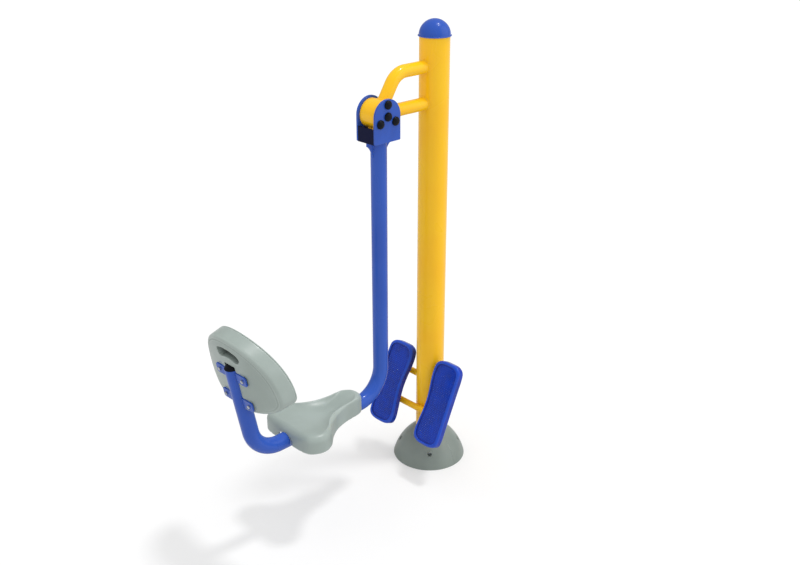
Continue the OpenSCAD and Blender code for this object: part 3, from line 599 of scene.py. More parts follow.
cover_profile = cover_rise(0) + cover_rise(cover_wall)[::-1]
screw_pockets, screw_cups = Shape(), Shape()
for quarter in (45, 135, 225, 315):
    outward = (
        moved(0, 0, screw_height) @ Matrix.Rotation(radians(quarter), 4, "Z") @ squared("Y")
    )
    screw_pockets.add(rod(9, screw_seat, 160, 40), outward)
    screw_cups.add(rod(12, 110.3, 124.0, 40), outward)
# The cover takes a darker copy of the grey plastic: painted shade for the shadow that the foot
# plates and arms cast on it.
shaded_cover_plastic = moulded_plastic(
    "base_cover_painted_shade", tint(132, 142, 136), tint(106, 116, 110), tint(150, 160, 154)
)
cover_seam = 0.2
for half, low_x, high_x in (("rear", -170, -cover_seam), ("front", cover_seam, 170)):
    room = Shape(block((low_x, -170, -2), (high_x, 170, 150)))
    cover = moulded(
        "cover_" + half, Shape(turned(cover_profile, 160), screw_cups.body),
        [("DIFFERENCE", screw_pockets), ("INTERSECT", room)],
    )
    piece("base_cover_" + half + "_moulding", ("frame", "moulded_grey", shaded_cover_plastic), cover,
          "base_cover_" + half)

# The two arms: the upper one a bent tube of 48.3 mm, the lower one straight. Both are notched
# to the post and to the barrel and welded all round.


def swept(path, radius, around=56):
    """A round rod along a line in the plane of the swing, as (x, z) points."""
    count = len(path)
    rings = []
    for j, (x, z) in enumerate(path):
        before = Vector(path[max(j - 1, 0)])
        after = Vector(path[min(j + 1, count - 1)])
        along = (after - before).normalized()
        if 0 < j < count - 1:
            first = (Vector(path[j]) - before).normalized()
            stretch = 1 / max(first.dot(along), 0.5)
        else:
            stretch = 1.0
        rings.append([
            Vector((
                x - along.y * cos(a) * radius * stretch, sin(a) * radius,
                z + along.x * cos(a) * radius * stretch,
            )) for a in circle(around)
        ])
    return loft(rings)


barrel_radius = 54.0
arm_lean = radians(33)
arm_bend = 80.0
corner_x = hub_x + (upper_arm_height - hub_height) * tan(arm_lean)
tangent = arm_bend * tan((pi / 2 - arm_lean) / 2)
arm_start = -sqrt(post_radius ** 2 - arm_radius ** 2) + 4
upper_path = (
    [(arm_start, upper_arm_height)]
    + arc((corner_x + tangent, upper_arm_height - arm_bend), arm_bend, 90, 180 - 33, 28)
    + [(hub_x + (barrel_radius - 8) * sin(arm_lean),
        hub_height + (barrel_radius - 8) * cos(arm_lean))]
)
lower_path = [(arm_start, hub_height), (hub_x + barrel_radius - 8, hub_height)]
for label, path in (("upper", upper_path), ("lower", lower_path)):
    piece(label + "_arm_tube", post_yellow, swept(path, arm_radius), label + "_arm")

# The bearing barrel: a short thick tube across the arms' ends. Its carriers and bearings show
# only where the yoke leaves a slit, so they keep their own meshes.


def barrel_saddle(lean, steps=152):
    """Where an arm, leaning back from level by so much, meets the barrel."""
    along = Vector((cos(lean), 0, sin(lean)))
    across = Vector((-sin(lean), 0, cos(lean)))
    hub = Vector((hub_x, 0, hub_height))
    return [
        hub + along * sqrt(barrel_radius ** 2 - (arm_radius * sin(a)) ** 2)
        + Vector((0, arm_radius * cos(a), 0)) + across * arm_radius * sin(a)
        for a in circle(steps)
    ], along


def across_at(x, z, side=1):
    """Places a body drawn along Z, with +Y up, on a level line across the machine."""
    return moved(x, 0, z) @ Matrix(((1, 0, 0, 0), (0, 0, side, 0), (0, 1, 0, 0), (0, 0, 0, 1)))


barrel_half = 39.5
barrel_inner = 50.0
barrel = pipe(barrel_inner, barrel_radius, -barrel_half, barrel_half, 0.8, 128)
piece("bearing_barrel_tube", post_yellow, Shape().add(barrel, across_at(hub_x, hub_height)),
      "bearing_barrel")
barrel_welds = Shape()
for lean in (0.0, pi / 2 - arm_lean):
    line, axis = barrel_saddle(lean)
    barrel_welds.add(bead(line, axis))
piece("barrel_weld_beads", post_yellow, barrel_welds)
bearing_steel = plated_metal("ground_bearing_steel", tint(186, 188, 190), tint(128, 128, 130), 0.14)
for inner_node in ("bearing_carriers", "bearing_outer_rings", "bearing_inner_rings",
                   "bearing_balls", "pivot_axle", "hub_flanges"):
    hidden_node(inner_node, bearing_steel)

# The stop block: a thick steel wedge welded under the barrel, between the yoke's two buffers.


def body_of(mesh, scale):
    """A mesh's points, divided by a scale, and its faces."""
    return [v.co / scale for v in mesh.vertices], [list(f.vertices) for f in mesh.polygons]


def plate(outline, thickness, edge=1.0, holes=()):
    """A flat plate centred on Z, cut to an outline with round holes (x, y, r), its edges eased."""
    drawing = bpy.data.curves.new("plate", "CURVE")
    drawing.dimensions = "2D"
    drawing.fill_mode = "BOTH"
    drawing.extrude = thickness / 2 - edge
    drawing.bevel_depth = edge
    drawing.bevel_resolution = 2
    drawing.offset = -edge
    rounds = [[(x + r * cos(a), y + r * sin(a)) for a in circle(32)] for x, y, r in holes]
    for line in [outline] + rounds:
        spline = drawing.splines.new("POLY")
        spline.points.add(len(line) - 1)
        for point, (x, y) in zip(spline.points, line):
            point.co = (x, y, 0, 1)
        spline.use_cyclic_u = True
    made = in_scene("plate", drawing)
    mesh = evaluated(made)
    work = bmesh.new()
    work.from_mesh(mesh)
    bmesh.ops.remove_doubles(work, verts=work.verts, dist=0.001)
    work.to_mesh(mesh)
    work.free()
    bpy.data.objects.remove(made)
    return body_of(mesh, 1)


def below(radius, angle):
    """A point under the pivot, its angle from straight down and positive towards the post."""
    turn = radians(angle)
    return (radius * sin(turn), -radius * cos(turn))


stop_radius = 78.0
stop_width = 36.0
stop_outline = (
    [below(barrel_radius - 1, a) for a in range(-38, -13, 3)]
    + [below(stop_radius, a) for a in (-14, -20, -26, -32, -38)]
)
at_hub = moved(hub_x, 0, hub_height)
facing_side = at_hub @ squared("X")
stop_wedge = Shape().add(plate(stop_outline, stop_width, 1.2), facing_side)
piece("stop_block_wedge", post_yellow, stop_wedge, "stop_block")

# The bars that carry the foot plates: two cross tubes of 26.9 mm, the lower one welded to the
# rider's side of the post, the upper one through it, with black plugs in their ends.
bar_radius = 13.45
bar_half = 155.0
lower_bar = (-70.6, 246.0)
foot_lean = radians(25)
bar_step = 135.0
upper_bar = (lower_bar[0] + bar_step * sin(foot_lean), lower_bar[1] + bar_step * cos(foot_lean))

bar = pipe(bar_radius - 2.6, bar_radius, -bar_half, bar_half, 0.5, 64)
for label, (bar_x, bar_z) in (("lower", lower_bar), ("upper", upper_bar)):
    piece(label + "_foot_bar", post_yellow, Shape().add(bar, across_at(bar_x, bar_z)),
          "pedal_bar_" + label)


def black_moulding(name, colour, shade, rough):
    """Black plastic or rubber: satin, with a fine grain and dull rubbed edges."""
    black = Finish(name)
    cloud = black.noise(60.0, 3.0)
    rubbed = black.mark("edge").between(0.5, 1.0)
    base = black.mix(0.5 * cloud + 0.3 * rubbed, colour, shade)
    height = 0.6 * black.noise(1200.0, 1.0) + 0.4 * cloud
    rough = rough + 0.15 * cloud + 0.08 * rubbed
    return black.surface(base, rough, height, 0.00008, Specular_IOR_Level=0.12)


black_plastic = black_moulding("black_plastic", tint(15, 17, 24), tint(32, 34, 42), 0.34)
plug_profile = [
    (0, -12), (bar_radius - 2.7, -12), (bar_radius - 2.7, 0), (bar_radius - 0.05, 0),
    (bar_radius - 0.05, 1.2), (bar_radius - 0.9, 2.5), (bar_radius - 2.4, 3.0), (0, 3.0),
]
plugs = Shape()
for bar_x, bar_z in (lower_bar, upper_bar):
    for side in (-1, 1):
        plugs.add(
            turned([(r, z + bar_half) for r, z in plug_profile], 48, ring=False),
            across_at(bar_x, bar_z, side),
        )
piece("bar_end_plugs", ("frame", "black_plastic", black_plastic), plugs, "bar_plugs")
bar_welds = Shape()
for side in (-1, 1):
    bar_welds.add(bead(
        [(upper_bar[0] + bar_radius * cos(a),
          side * sqrt(post_radius ** 2 - (upper_bar[0] + bar_radius * cos(a)) ** 2),
          upper_bar[1] + bar_radius * sin(a)) for a in circle(88)], (0, 1, 0), 2.6))
bar_welds.add(bead(
    [(-post_radius - 1.5 + 1.5 * cos(2 * a), 24 * cos(a), lower_bar[1] + 9 * sin(a))
     for a in circle(88)], (1, 0, 0), 3.0))
piece("foot_bar_weld_beads", post_yellow, bar_welds)

# The channels behind the foot plates: bent from 5 mm sheet, their two flanges notched onto the
# bars, with the foot plate bolted to the web between them.
foot_pitch = 132.0
foot_height = 328.0
foot_thick = 32.0
channel_depth = 23.0
foot_back = foot_thick / 2 + channel_depth
foot_x = (
    lower_bar[0] + (foot_height - lower_bar[1]) * tan(foot_lean)
    - (foot_back + bar_radius) / cos(foot_lean)
)


def on_foot(side):
    """Places a body on a foot plate: X out of its back, Y across it, Z up along it."""
    return moved(foot_x, side * foot_pitch, foot_height) @ Matrix.Rotation(foot_lean, 4, "Y")


channel_half_w = 22.0
channel_half_l = 102.5
channel_mid = (
    (lower_bar[1] - foot_height) / cos(foot_lean) + bar_step / 2
    + (foot_back + bar_radius) * tan(foot_lean)
)
channel_sheet = 5.0
bolt_hole = 4.3
bolt_seats = (-88, -13, 62)
flange_back = foot_back + bar_radius
notch_radius = bar_radius + 0.2
channel_low, channel_high = channel_mid - channel_half_l, channel_mid + channel_half_l
notched = [(foot_thick / 2, channel_low), (flange_back, channel_low)]
for bar_x, bar_z in (lower_bar, upper_bar):
    notch = on_foot(0).inverted() @ Vector((bar_x, 0, bar_z))
    drop = notch.x - flange_back
    reach = degrees(asin(max(-1, min(1, -drop / notch_radius))))
    notched += arc((notch.x, notch.z), notch_radius, -90 + reach - 0.01, -270 - reach + 0.01, 20)
notched += [(flange_back, channel_high), (foot_thick / 2, channel_high)]
left_and_right = (("left", 1), ("right", -1))
for label, side in left_and_right:
    channel = Shape()
    for edge_side in (-1, 1):
        channel.add(
            plate(notched, channel_sheet, 0.8), on_foot(side)
            @ moved(0, edge_side * (channel_half_w - channel_sheet / 2), 0) @ squared("X"),
        )
    channel.add(
        plate(
            oblong(-channel_half_w, -channel_half_l, channel_half_w, channel_half_l),
            channel_sheet, 1.2, [(0, z - channel_mid, bolt_hole) for z in bolt_seats],
        ),
        on_foot(side) @ moved(foot_thick / 2 + channel_sheet / 2, 0, channel_mid)
        @ Matrix(((0, 0, 1, 0), (1, 0, 0, 0), (0, 1, 0, 0), (0, 0, 0, 1))),
    )
    piece("foot_channel_" + label, post_yellow, channel, "pedal_plate_" + label)

# The foot plates: thick treads moulded in glossy blue plastic, shaped like soles, with a rounded
# rim round a sunk face of small pips and pockets in the back to save plastic.
foot_width = 134.0
foot_length = 356.0
foot_rim = 10.0
foot_sunk = 6.0


def smooth_line(corners, steps):
    """Points on a closed smooth curve through the corners."""
    count = len(corners)
    made = []
    for i in range(count):
        a, b, c, d = (Vector(corners[(i + k) % count]) for k in (-1, 0, 1, 2))
        for t in (j / steps for j in range(steps)):
            made.append(0.5 * (
                2 * b + (c - a) * t + (2 * a - 5 * b + 4 * c - d) * t * t
                + (3 * b - a - 3 * c + d) * t * t * t
            ))
    return made


sole = smooth_line([
    (0, 1), (0.55, 0.985), (0.9, 0.9), (1, 0.74), (0.97, 0.5), (0.87, 0.25), (0.82, 0),
    (0.85, -0.25), (0.95, -0.54), (1, -0.76), (0.9, -0.91), (0.55, -0.985), (0, -1),
    (-0.55, -0.985), (-0.9, -0.91), (-1, -0.76), (-1, -0.4), (-1, 0), (-1, 0.4), (-1, 0.74),
    (-0.9, 0.9), (-0.55, 0.985),
], 8)


def sole_ring(side, inset, depth):
    """The sole's outline drawn in by an inset, at a depth from the middle of the plate."""
    return [
        Vector((depth, -side * p.x * (foot_width / 2 - inset), p.y * (foot_length / 2 - inset)))
        for p in sole
    ]


def rounded_oblong(x0, y0, x1, y1, radius):
    """A rectangle's outline with round corners."""
    ends = [(x1 - radius, y1 - radius, 0), (x0 + radius, y1 - radius, 90),
            (x0 + radius, y0 + radius, 180), (x1 - radius, y0 + radius, 270)]
    return [p for x, y, a in ends for p in arc((x, y), radius, a, a + 90, 6)]


def rounded_block(low, high, radius):
    """A block with its four edges along X rounded."""
    ring = rounded_oblong(*low[1:], *high[1:], radius)
    return loft([[(x, y, z) for y, z in ring] for x in (low[0], high[0])])


def tread_plastic(name, colour, shade, rim):
    """Glossy moulded plastic: a painted highlight on the rounded rims, painted shade in the
    hollows, and a mottled, slightly duller sunk face.
    """
    gloss = Finish(name)
    cloud = gloss.noise(22.0, 4.0).between(0.35, 0.65)
    hollow_darkening = gloss.mark("hollow").between(0.05, 0.6)
    rim_highlight = gloss.mark("edge").between(0.15, 0.6)
    scuffs = gloss.noise(120.0, 4.0, (1.0, 1.0, 0.5)).between(0.52, 0.70)
    tone = gloss.mix(0.35 * cloud + 0.05 * scuffs, colour, shade)
    # Hollows round the sunk face and rim go dark: painted shade.
    tone = gloss.mix(0.80 * hollow_darkening, tone, shade)
    # Rounded rims go to the lighter rim colour: a painted highlight.
    base = gloss.mix(0.65 * rim_highlight, tone, rim)
    height = 0.4 * gloss.noise(500.0, 1.0) + 0.3 * scuffs
    rough = 0.16 + 0.10 * cloud + 0.08 * scuffs + 0.12 * hollow_darkening
    return gloss.surface(base, rough, height, 0.00010, Specular_IOR_Level=0.45)


# The third colour is the painted highlight on the rims.
tread_blue = tread_plastic(
    "glossy_blue_plastic", tint(14, 54, 172), tint(4, 22, 96), tint(30, 84, 208)
)
foot_half_t = foot_thick / 2
back_edge = 4.0
front_edge = 9.0
rim_edge = 3.0
sunk_edge = 1.5
pocket_depth = 14.0
pocket_half_w = 20.5
pocket_half_l = 26.0
pocket_step = 45.0
pip_step = 9.5
pip_row = 8.2
for label, side in left_and_right:
    rings = [sole_ring(side, inset, depth) for inset, depth in (
        arc((back_edge, foot_half_t - back_edge), back_edge, 90, 180, 5)
        + arc((front_edge, front_edge - foot_half_t), front_edge, 180, 270, 12)
        + arc((front_edge, rim_edge - foot_half_t), rim_edge, 275, 350, 8)
        + arc((foot_rim + 4, foot_sunk - sunk_edge - foot_half_t), sunk_edge, 170, 90, 5)
    )]
    pockets = Shape()
    for y in (-foot_width / 4, foot_width / 4):
        for z in (-foot_length / 4 - pocket_step, foot_length / 4 + pocket_step):
            pockets.add(rounded_block(
                (foot_half_t - pocket_depth, y - pocket_half_w, z - pocket_half_l),
                (foot_half_t + 2, y + pocket_half_w, z + pocket_half_l), 8,
            ))
    for z in bolt_seats:
        pockets.add(rod(4, 1, 30, 24), moved(0, 0, z) @ squared("Y"))
    tread = moulded("foot_plate_" + label, Shape(loft(rings)), [("DIFFERENCE", pockets)])
    pips = Shape()
    inner = [(y, z) for x, y, z in sole_ring(side, foot_rim + 9, 0)]
    face = foot_sunk - foot_half_t
    pip = turned([(2.6, 0.4), (2.5, -0.3), (1.9, -0.85), (0, -1.1)], 12, ring=False)
    for row in range(-20, 21):
        for column in range(-8, 9):
            y = (column + 0.5 * (row % 2)) * pip_step
            z = row * pip_row
            crossings = sum(
                (a[1] > z) != (b[1] > z) and y < a[0] + (z - a[1]) / (b[1] - a[1]) * (b[0] - a[0])
                for a, b in zip(inner, inner[1:] + inner[:1])
            )
            if crossings % 2:
                pips.add(pip, moved(face, y, z) @ squared("Y"))
    placed = Shape().add(body_of(tread, MM), on_foot(side)).add(pips.body, on_foot(side))
    piece("foot_plate_" + label, ("frame", "tread_blue", tread_blue), placed, "pedal_" + label)

# The bolts that hold the foot plates, entered from behind through the channels: zinc-plated, with
# chamfered hexagon heads.
bolt_across = 13.0
bolt_head = 5.3
bolt_radius = 3.95


def hex_bolt(length):
    """A bolt along Z: its head above 0, chamfered on top, and its shank below."""
    rings = [[], [], []]
    for a in circle(48):
        corner = cos(radians(degrees(a) % 60 - 30))
        reach = bolt_across / 2 / corner
        shoulder = bolt_head - (reach - bolt_across / 2) * 0.55 - 0.5
        top = min(reach, bolt_across / 2 * 0.96)
        for ring, r, z in zip(rings, (reach, reach, top), (0.0, shoulder, bolt_head)):
            ring.append((r * cos(a), r * sin(a), z))
    shank = turned([
        (0, -length), (bolt_radius - 0.6, -length), (bolt_radius, -length + 0.6),
        (bolt_radius, 0.2), (0, 0.2),
    ], 24, ring=False)
    return loft(rings), shank


foot_bolts = Shape()
for side in (-1, 1):
    for z in bolt_seats:
        for body in hex_bolt(19.0):
            foot_bolts.add(
                body, on_foot(side) @ moved(foot_half_t + channel_sheet, 0, z) @ squared("Y")
            )
piece("foot_plate_bolts", ("frame", "plated_steel", plated_steel), foot_bolts, "pedal_bolts")

# The yoke: two round-topped steel plates outside the barrel, welded to a thick base plate and a
# bar in front, and coated blue with the tube that hangs from it. A plate closes it behind, coloured
# near-black as painted shade for the dark inside of the yoke.
yoke_half = 62.5
yoke_drop = 93.0
yoke_inside = 40.5
yoke_sheet = 8.0
flange_bolt_places = arc((0, 0), 42.5, 90, 330, 2)
yoke_outline = arc((0, 0), yoke_half, 0, 180, 40) + [
    (-yoke_half, 3.0 - yoke_drop), (3.0 - yoke_half, -yoke_drop), (yoke_half - 3.0, -yoke_drop),
    (yoke_half, 3.0 - yoke_drop),
]
axle_hole = 6.3
yoke_holes = [(0, 0, axle_hole)] + [(x, y, bolt_hole) for x, y in flange_bolt_places]
arm_blue = ("swing_arm", "arm_blue", blue_coat)
for label, side in left_and_right:
    cheek = Shape().add(
        plate(yoke_outline, yoke_sheet, 1.0, yoke_holes),
        across_at(hub_x, hub_height, side) @ moved(0, 0, yoke_inside + yoke_sheet / 2),
    )
    piece("yoke_cheek_" + label, arm_blue, cheek, "yoke_plate_" + label)


def eased_block(low, high, edge=1.0):
    """A block of plate with its edges eased."""
    (x0, y0, z0), (x1, y1, z1) = low, high
    points, faces = plate(oblong(x0, y0, x1, y1), z1 - z0, edge)
    return [(x, y, z + (z0 + z1) / 2) for x, y, z in points], faces


# The closing plate's near-black colour is painted shade for the dark inside of the yoke.
painted_shade_coat = black_moulding("painted_shade_black", tint(3, 10, 50), tint(8, 16, 58), 0.4)
yoke_floor = 10.0 - yoke_drop
back_inner = 6.0 - yoke_half
back_plate_height = 56.0
front_bar = 34.0
front_bar_sheet = 12.0
front_bar_height = 26.0
for label, dress, node, low, high in (
    ("yoke_floor", arm_blue, "yoke_base_plate",
     (back_inner, -yoke_inside, -yoke_drop), (yoke_half, yoke_inside, yoke_floor)),
    ("yoke_back", ("swing_arm", "plate_black", painted_shade_coat), "yoke_back_plate",
     (-yoke_half, -yoke_inside, -yoke_drop),
     (back_inner, yoke_inside, back_plate_height - yoke_drop)),
    ("yoke_front", arm_blue, "yoke_front_bar", (front_bar, -yoke_inside, yoke_floor),
     (front_bar + front_bar_sheet, yoke_inside, yoke_floor + front_bar_height)),
):
    piece(label, dress, Shape().add(eased_block(low, high), at_hub), node)


def fillet(start, end, out, radius=2.6, pitch=4.2, sides=10):
    """A straight weld bead from one point to another, rippled and with rounded ends."""
    start, end, out = Vector(start), Vector(end), Vector(out).normalized()
    along = (end - start).normalized()
    across = along.cross(out)
    length = (end - start).length
    count = max(int(length / 1.1), 4)
    rings = []
    for j in range(count + 1):
        run = length * j / count
        size = radius * ripple(run, pitch)
        size *= sqrt(max(1 - max(1 - min(run, length - run) / radius, 0) ** 2, 0.02))
        rings.append(hoop(start + along * run, out, across, size, sides))
    return loft(rings)


yoke_welds = Shape()
for side in (-1, 1):
    yoke_welds.add(fillet((-yoke_half + 8, side * yoke_inside, yoke_floor),
                          (front_bar - 2, side * yoke_inside, yoke_floor), (0, 0, 1), 3.0), at_hub)
    yoke_welds.add(fillet((yoke_half, side * yoke_inside, yoke_floor - 7),
                          (yoke_half, side * yoke_inside, yoke_floor), (1, 0, 0), 2.0), at_hub)
piece("yoke_weld_beads", arm_blue, yoke_welds)

# The yoke's buffers: rubber wedges glued to the back plate and to the front bar, which meet the
# stop block at the two ends of the swing.
buffer_in = barrel_radius + 4.0
buffer_out = stop_radius - 1.0
rubber = black_moulding("black_rubber", tint(30, 30, 31), tint(54, 53, 51), 0.55)
rest_angle = -38.4
limit_angle = 16.4
for label, angle, backs in (
    ("rest", rest_angle, [(back_inner, -buffer_out + 6), (back_inner, -buffer_in + 8)]),
    ("limit", limit_angle, [(front_bar, -buffer_out), (front_bar, -buffer_in + 1)]),
):
    outline = [below(buffer_in, angle), below(buffer_out, angle)] + backs
    wedge = Shape().add(plate(outline, stop_width, 1.5), facing_side)
    piece(label + "_buffer_wedge", ("swing_arm", "black_rubber", rubber), wedge, label + "_buffer")

# The pivot's fasteners: hexagon bolts in the yoke plates, each under a domed black cap that snaps
# over its head.
for bolt_node in ("flange_bolts", "axle_bolts"):
    hidden_node(bolt_node, plated_steel)
snap_radius = 16.0
snap_height = 14.0
snap_band = snap_height / 3


def dome(radius, rise, top, steps, start=0.0):
    """A ball's cap of a radius and a rise up to its top, as (radius, height) points."""
    ball = (radius ** 2 + rise ** 2) / (2 * rise)
    turn = degrees(asin((ball - rise) / ball))
    return arc((0, top - ball), ball, turn + start, 89, steps) + [(0, top)]


snap_cap = turned(
    [(0, 8.6), (11.5, 8.6), (11.5, snap_band), (14.5, snap_band), (14.5, 0), (snap_radius - 0.5, 0),
     (snap_radius, 0.5)] + dome(snap_radius, snap_height - snap_band, snap_height, 18),
    48, ring=False,
)
caps = Shape()
for side in (-1, 1):
    for x, y in flange_bolt_places + [(0, 0)]:
        caps.add(
            snap_cap,
            across_at(hub_x, hub_height, side) @ moved(x, y, yoke_inside + yoke_sheet),
        )
swing_black = ("swing_arm", "black_plastic", black_plastic)
piece("bolt_snap_caps", swing_black, caps, "bolt_caps")

# The hanging tube: one length of 60.3 mm steel tube, welded under the yoke, bent forward under
# the seat and up again behind it, with two webs at the yoke and a black plug in its upper end.
tube_radius = 30.15
bend_radius = 125.0
bend_height = 535.0
yoke_bottom = hub_height - yoke_drop
seat_level = bend_height - bend_radius
rear_bend_x = -800.0
recline = radians(10.5)
upright_length = 288.0
upright_x = rear_bend_x - bend_radius * cos(recline)
upright_z = bend_height - bend_radius * sin(recline)
on_upright = moved(upright_x, 0, upright_z) @ Matrix.Rotation(-recline, 4, "Y")
upright_end = on_upright @ Vector((0, 0, upright_length))
tube_path = (
    [(hub_x, yoke_bottom)]
    + arc((hub_x - bend_radius, bend_height), bend_radius, 0, -90, 40)
    + arc((rear_bend_x, bend_height), bend_radius, -90, degrees(recline) - 180, 36)
    + [(upright_end.x, upright_end.z)]
)
piece("hanging_tube", arm_blue, swept(tube_path, tube_radius, 80), "swing_tube")
gusset_sheet = 8.0
gusset_foot = tube_radius + 3
gusset_drop = 58.0
gusset_reach = 57.5
gusset_curve = gusset_drop - 6
gusset_turn = degrees(acos((gusset_reach - gusset_foot - gusset_curve) / gusset_curve))
gusset_line = [(tube_radius - 0.6, 0), (gusset_reach, 0)] + arc(
    (gusset_foot + gusset_curve, -gusset_drop), gusset_curve, gusset_turn, 180, 14
) + [(tube_radius - 0.6, -gusset_drop)]
gussets = Shape()
hanging_welds = Shape().add(bead(
    [(tube_radius * cos(a), tube_radius * sin(a), yoke_bottom) for a in circle(170)],
    (0, 0, -1), 2.8,
), moved(hub_x, 0, 0))
for turns in (0, 2):
    stand = moved(hub_x, 0, yoke_bottom) @ squared("Z", turns)
    gussets.add(plate(gusset_line, gusset_sheet, 0.8), stand @ squared("X"))
    for side in (-1, 1):
        y = side * gusset_sheet / 2
        hanging_welds.add(
            fillet((tube_radius, y, -2), (tube_radius, y, -50), (1, side, 0), 2.2), stand)
        hanging_welds.add(
            fillet((tube_radius + 2, y, 0), (gusset_reach - 1, y, 0), (0, side, -1), 2.2), stand)
piece("gusset_webs", arm_blue, gussets, "yoke_gussets")
plug_rise = 12.0
end_plug = turned(
    [(0, -18), (26.4, -18), (26.4, 0), (tube_radius - 0.1, 0)]
    + dome(tube_radius, plug_rise, plug_rise, 20, 0.6), 72, ring=False,
)
piece("tube_end_plug", swing_black,
      Shape().add(end_plug, on_upright @ moved(0, 0, upright_length)), "tube_plug")

# The ears: flat steel bars welded across the tube, a pair under the seat and a pair behind the
# back, with a bolt at each end up into the moulding.
ear_sheet = 6.0
ear_width = 38.0
seat_ear_reach = 72.0
back_ear_reach = 84.0
seat_rear_x = -772.0
seat_ear_places = (46.0, 116.0)
back_ear_places = (154.0, 262.0)
back_face = -12.0


def ear_bar(reach):
    """An ear bar across the machine, facing X and running across Y, with rounded corners."""
    line = rounded_oblong(-reach, -ear_width / 2, reach, ear_width / 2, 8.0)
    holes = [(side * (reach - ear_width / 2), 0, bolt_hole) for side in (-1, 1)]
    points, faces = plate(line, ear_sheet, 0.8, holes)
    return [(z, x, y) for x, y, z in points], faces


def fit_ears(place, reach, seats, bolts, welds, ears):
    """Sets an ear bar, its two bolts and its weld beads at a place on the tube."""
    ears.add(ear_bar(reach), place)
    face, weld_end = -ear_sheet / 2, ear_width / 2 - 3
    for side in (-1, 1):
        for body in hex_bolt(ear_sheet + 18):
            bolts.add(
                body, place @ moved(face, side * (reach - ear_width / 2), 0) @ squared("Y", -1)
            )
        welds.add(fillet((face, side * seats, -weld_end), (face, side * seats, weld_end),
                         (-1, side, 0), 2.6), place)


seat_ear_bars, seat_ear_bolts = Shape(), Shape()
for x in seat_ear_places:
    fit_ears(
        moved(seat_rear_x + x, 0, seat_level) @ squared("Y", -1), seat_ear_reach,
        tube_radius - 0.2, seat_ear_bolts, hanging_welds, seat_ear_bars,
    )
swing_plated = ("swing_arm", "plated_steel", plated_steel)
piece("seat_ear_bars", arm_blue, seat_ear_bars, "seat_brackets")
piece("seat_ear_bolts", swing_plated, seat_ear_bolts, "seat_bolts")
back_ear_bolts = Shape()
back_ear_x = back_face + 1
back_ear_meets = sqrt(tube_radius ** 2 - (back_ear_x - ear_sheet / 2) ** 2)
for label, rise in zip(("lower", "upper"), back_ear_places):
    ear = Shape()
    fit_ears(
        on_upright @ moved(back_ear_x, 0, rise), back_ear_reach, back_ear_meets,
        back_ear_bolts, hanging_welds, ear,
    )
    piece("back_ear_" + label, arm_blue, ear, "back_bracket_" + label)
piece("back_ear_bolts", swing_plated, back_ear_bolts, "back_bolts")
piece("hanging_weld_beads", arm_blue, hanging_welds)

# The seat: one grey moulding like a saddle, dished in the middle, with a broad rear, a waist and
# a rounded nose. It is hollow below and straddles the tube through an arch at its rear.
seat_length = 364.0
seat_width = 304.0
waist_width = 106.0
nose_width = 92.0
seat_wall = 5.0
seat_skirt = -12.0
seat_middle = Vector((148.0, 0.0))
seat_dish = 20.0
seat_round = 14.0
seat_roll = 12.0
seat_corner = 3.0
seat_rim = 61.0
seat_rise = 8.0
seat_side = [
    (seat_length - 8, nose_width / 2 - 18), (seat_length - 40, nose_width / 2),
    (256, waist_width / 2), (196, waist_width / 2 + 17), (150, (waist_width + seat_width) / 4 - 3),
    (108, seat_width / 2 - 15), (66, seat_width / 2), (24, seat_width / 2 - 16),
    (4, seat_width / 2 - 52),
]
seat_line = smooth_line(
    [(seat_length, 0)] + seat_side + [(0, 0)] + [(x, -y) for x, y in seat_side[::-1]], 9
)


def drawn_in(point, middle, inset, share):
    """A point of an outline moved in by an inset and then to a share of its way from the middle."""
    away = point - middle
    return middle + away * (1 - inset / away.length) * share


def eased(x, low, high):
    """From 0 at low to 1 at high, with a soft start and end."""
    t = min(max((x - low) / (high - low), 0), 1)
    return t * t * (3 - 2 * t)


def seat_ring(wall, share, angle):
    """A ring of the seat's form at a share of the way out to its edge, or round that edge."""
    made = []
    for i, p in enumerate(seat_line):
        along = (seat_line[(i + 1) % len(seat_line)] - seat_line[i - 1]).normalized()
        back = seat_middle - p
        reach = wall * back.length / back.dot(Vector((-along.y, along.x)))
        whole = seat_round + seat_roll * (1 - eased(p.x, 90, 200) + eased(p.x, 310, 356))
        edge = max(whole - reach, seat_corner)
        out = share * (back.length - reach - edge) / (back.length - whole)
        q = drawn_in(p, seat_middle, reach + edge * (1 - cos(angle)), share)
        rim = seat_rim + seat_rise * (q.x / seat_length - 0.6)
        dish = seat_dish * (0.3 + 0.7 * eased(q.x, 40, 200)) * (1 - out ** 3)
        made.append((q.x, q.y, rim - dish - wall - (whole - wall) * (1 - sin(angle))))
    return made


def seat_form(wall, skirt):
    """The seat's outer form, or the hollow that leaves a wall in it. The dish is deepest at the
    waist, and the edge rolls over most round the rear lobes and the nose."""
    rings = [
        seat_ring(wall, share, pi / 2)
        for share in (0.03, 0.1, 0.2, 0.3, 0.4, 0.5, 0.6, 0.7, 0.8, 0.88, 0.95)
    ]
    rings += [seat_ring(wall, 1, radians(90 - 9 * i)) for i in range(11)]
    rings.append([(x, y, skirt) for x, y, z in rings[-1]])
    return loft(rings)


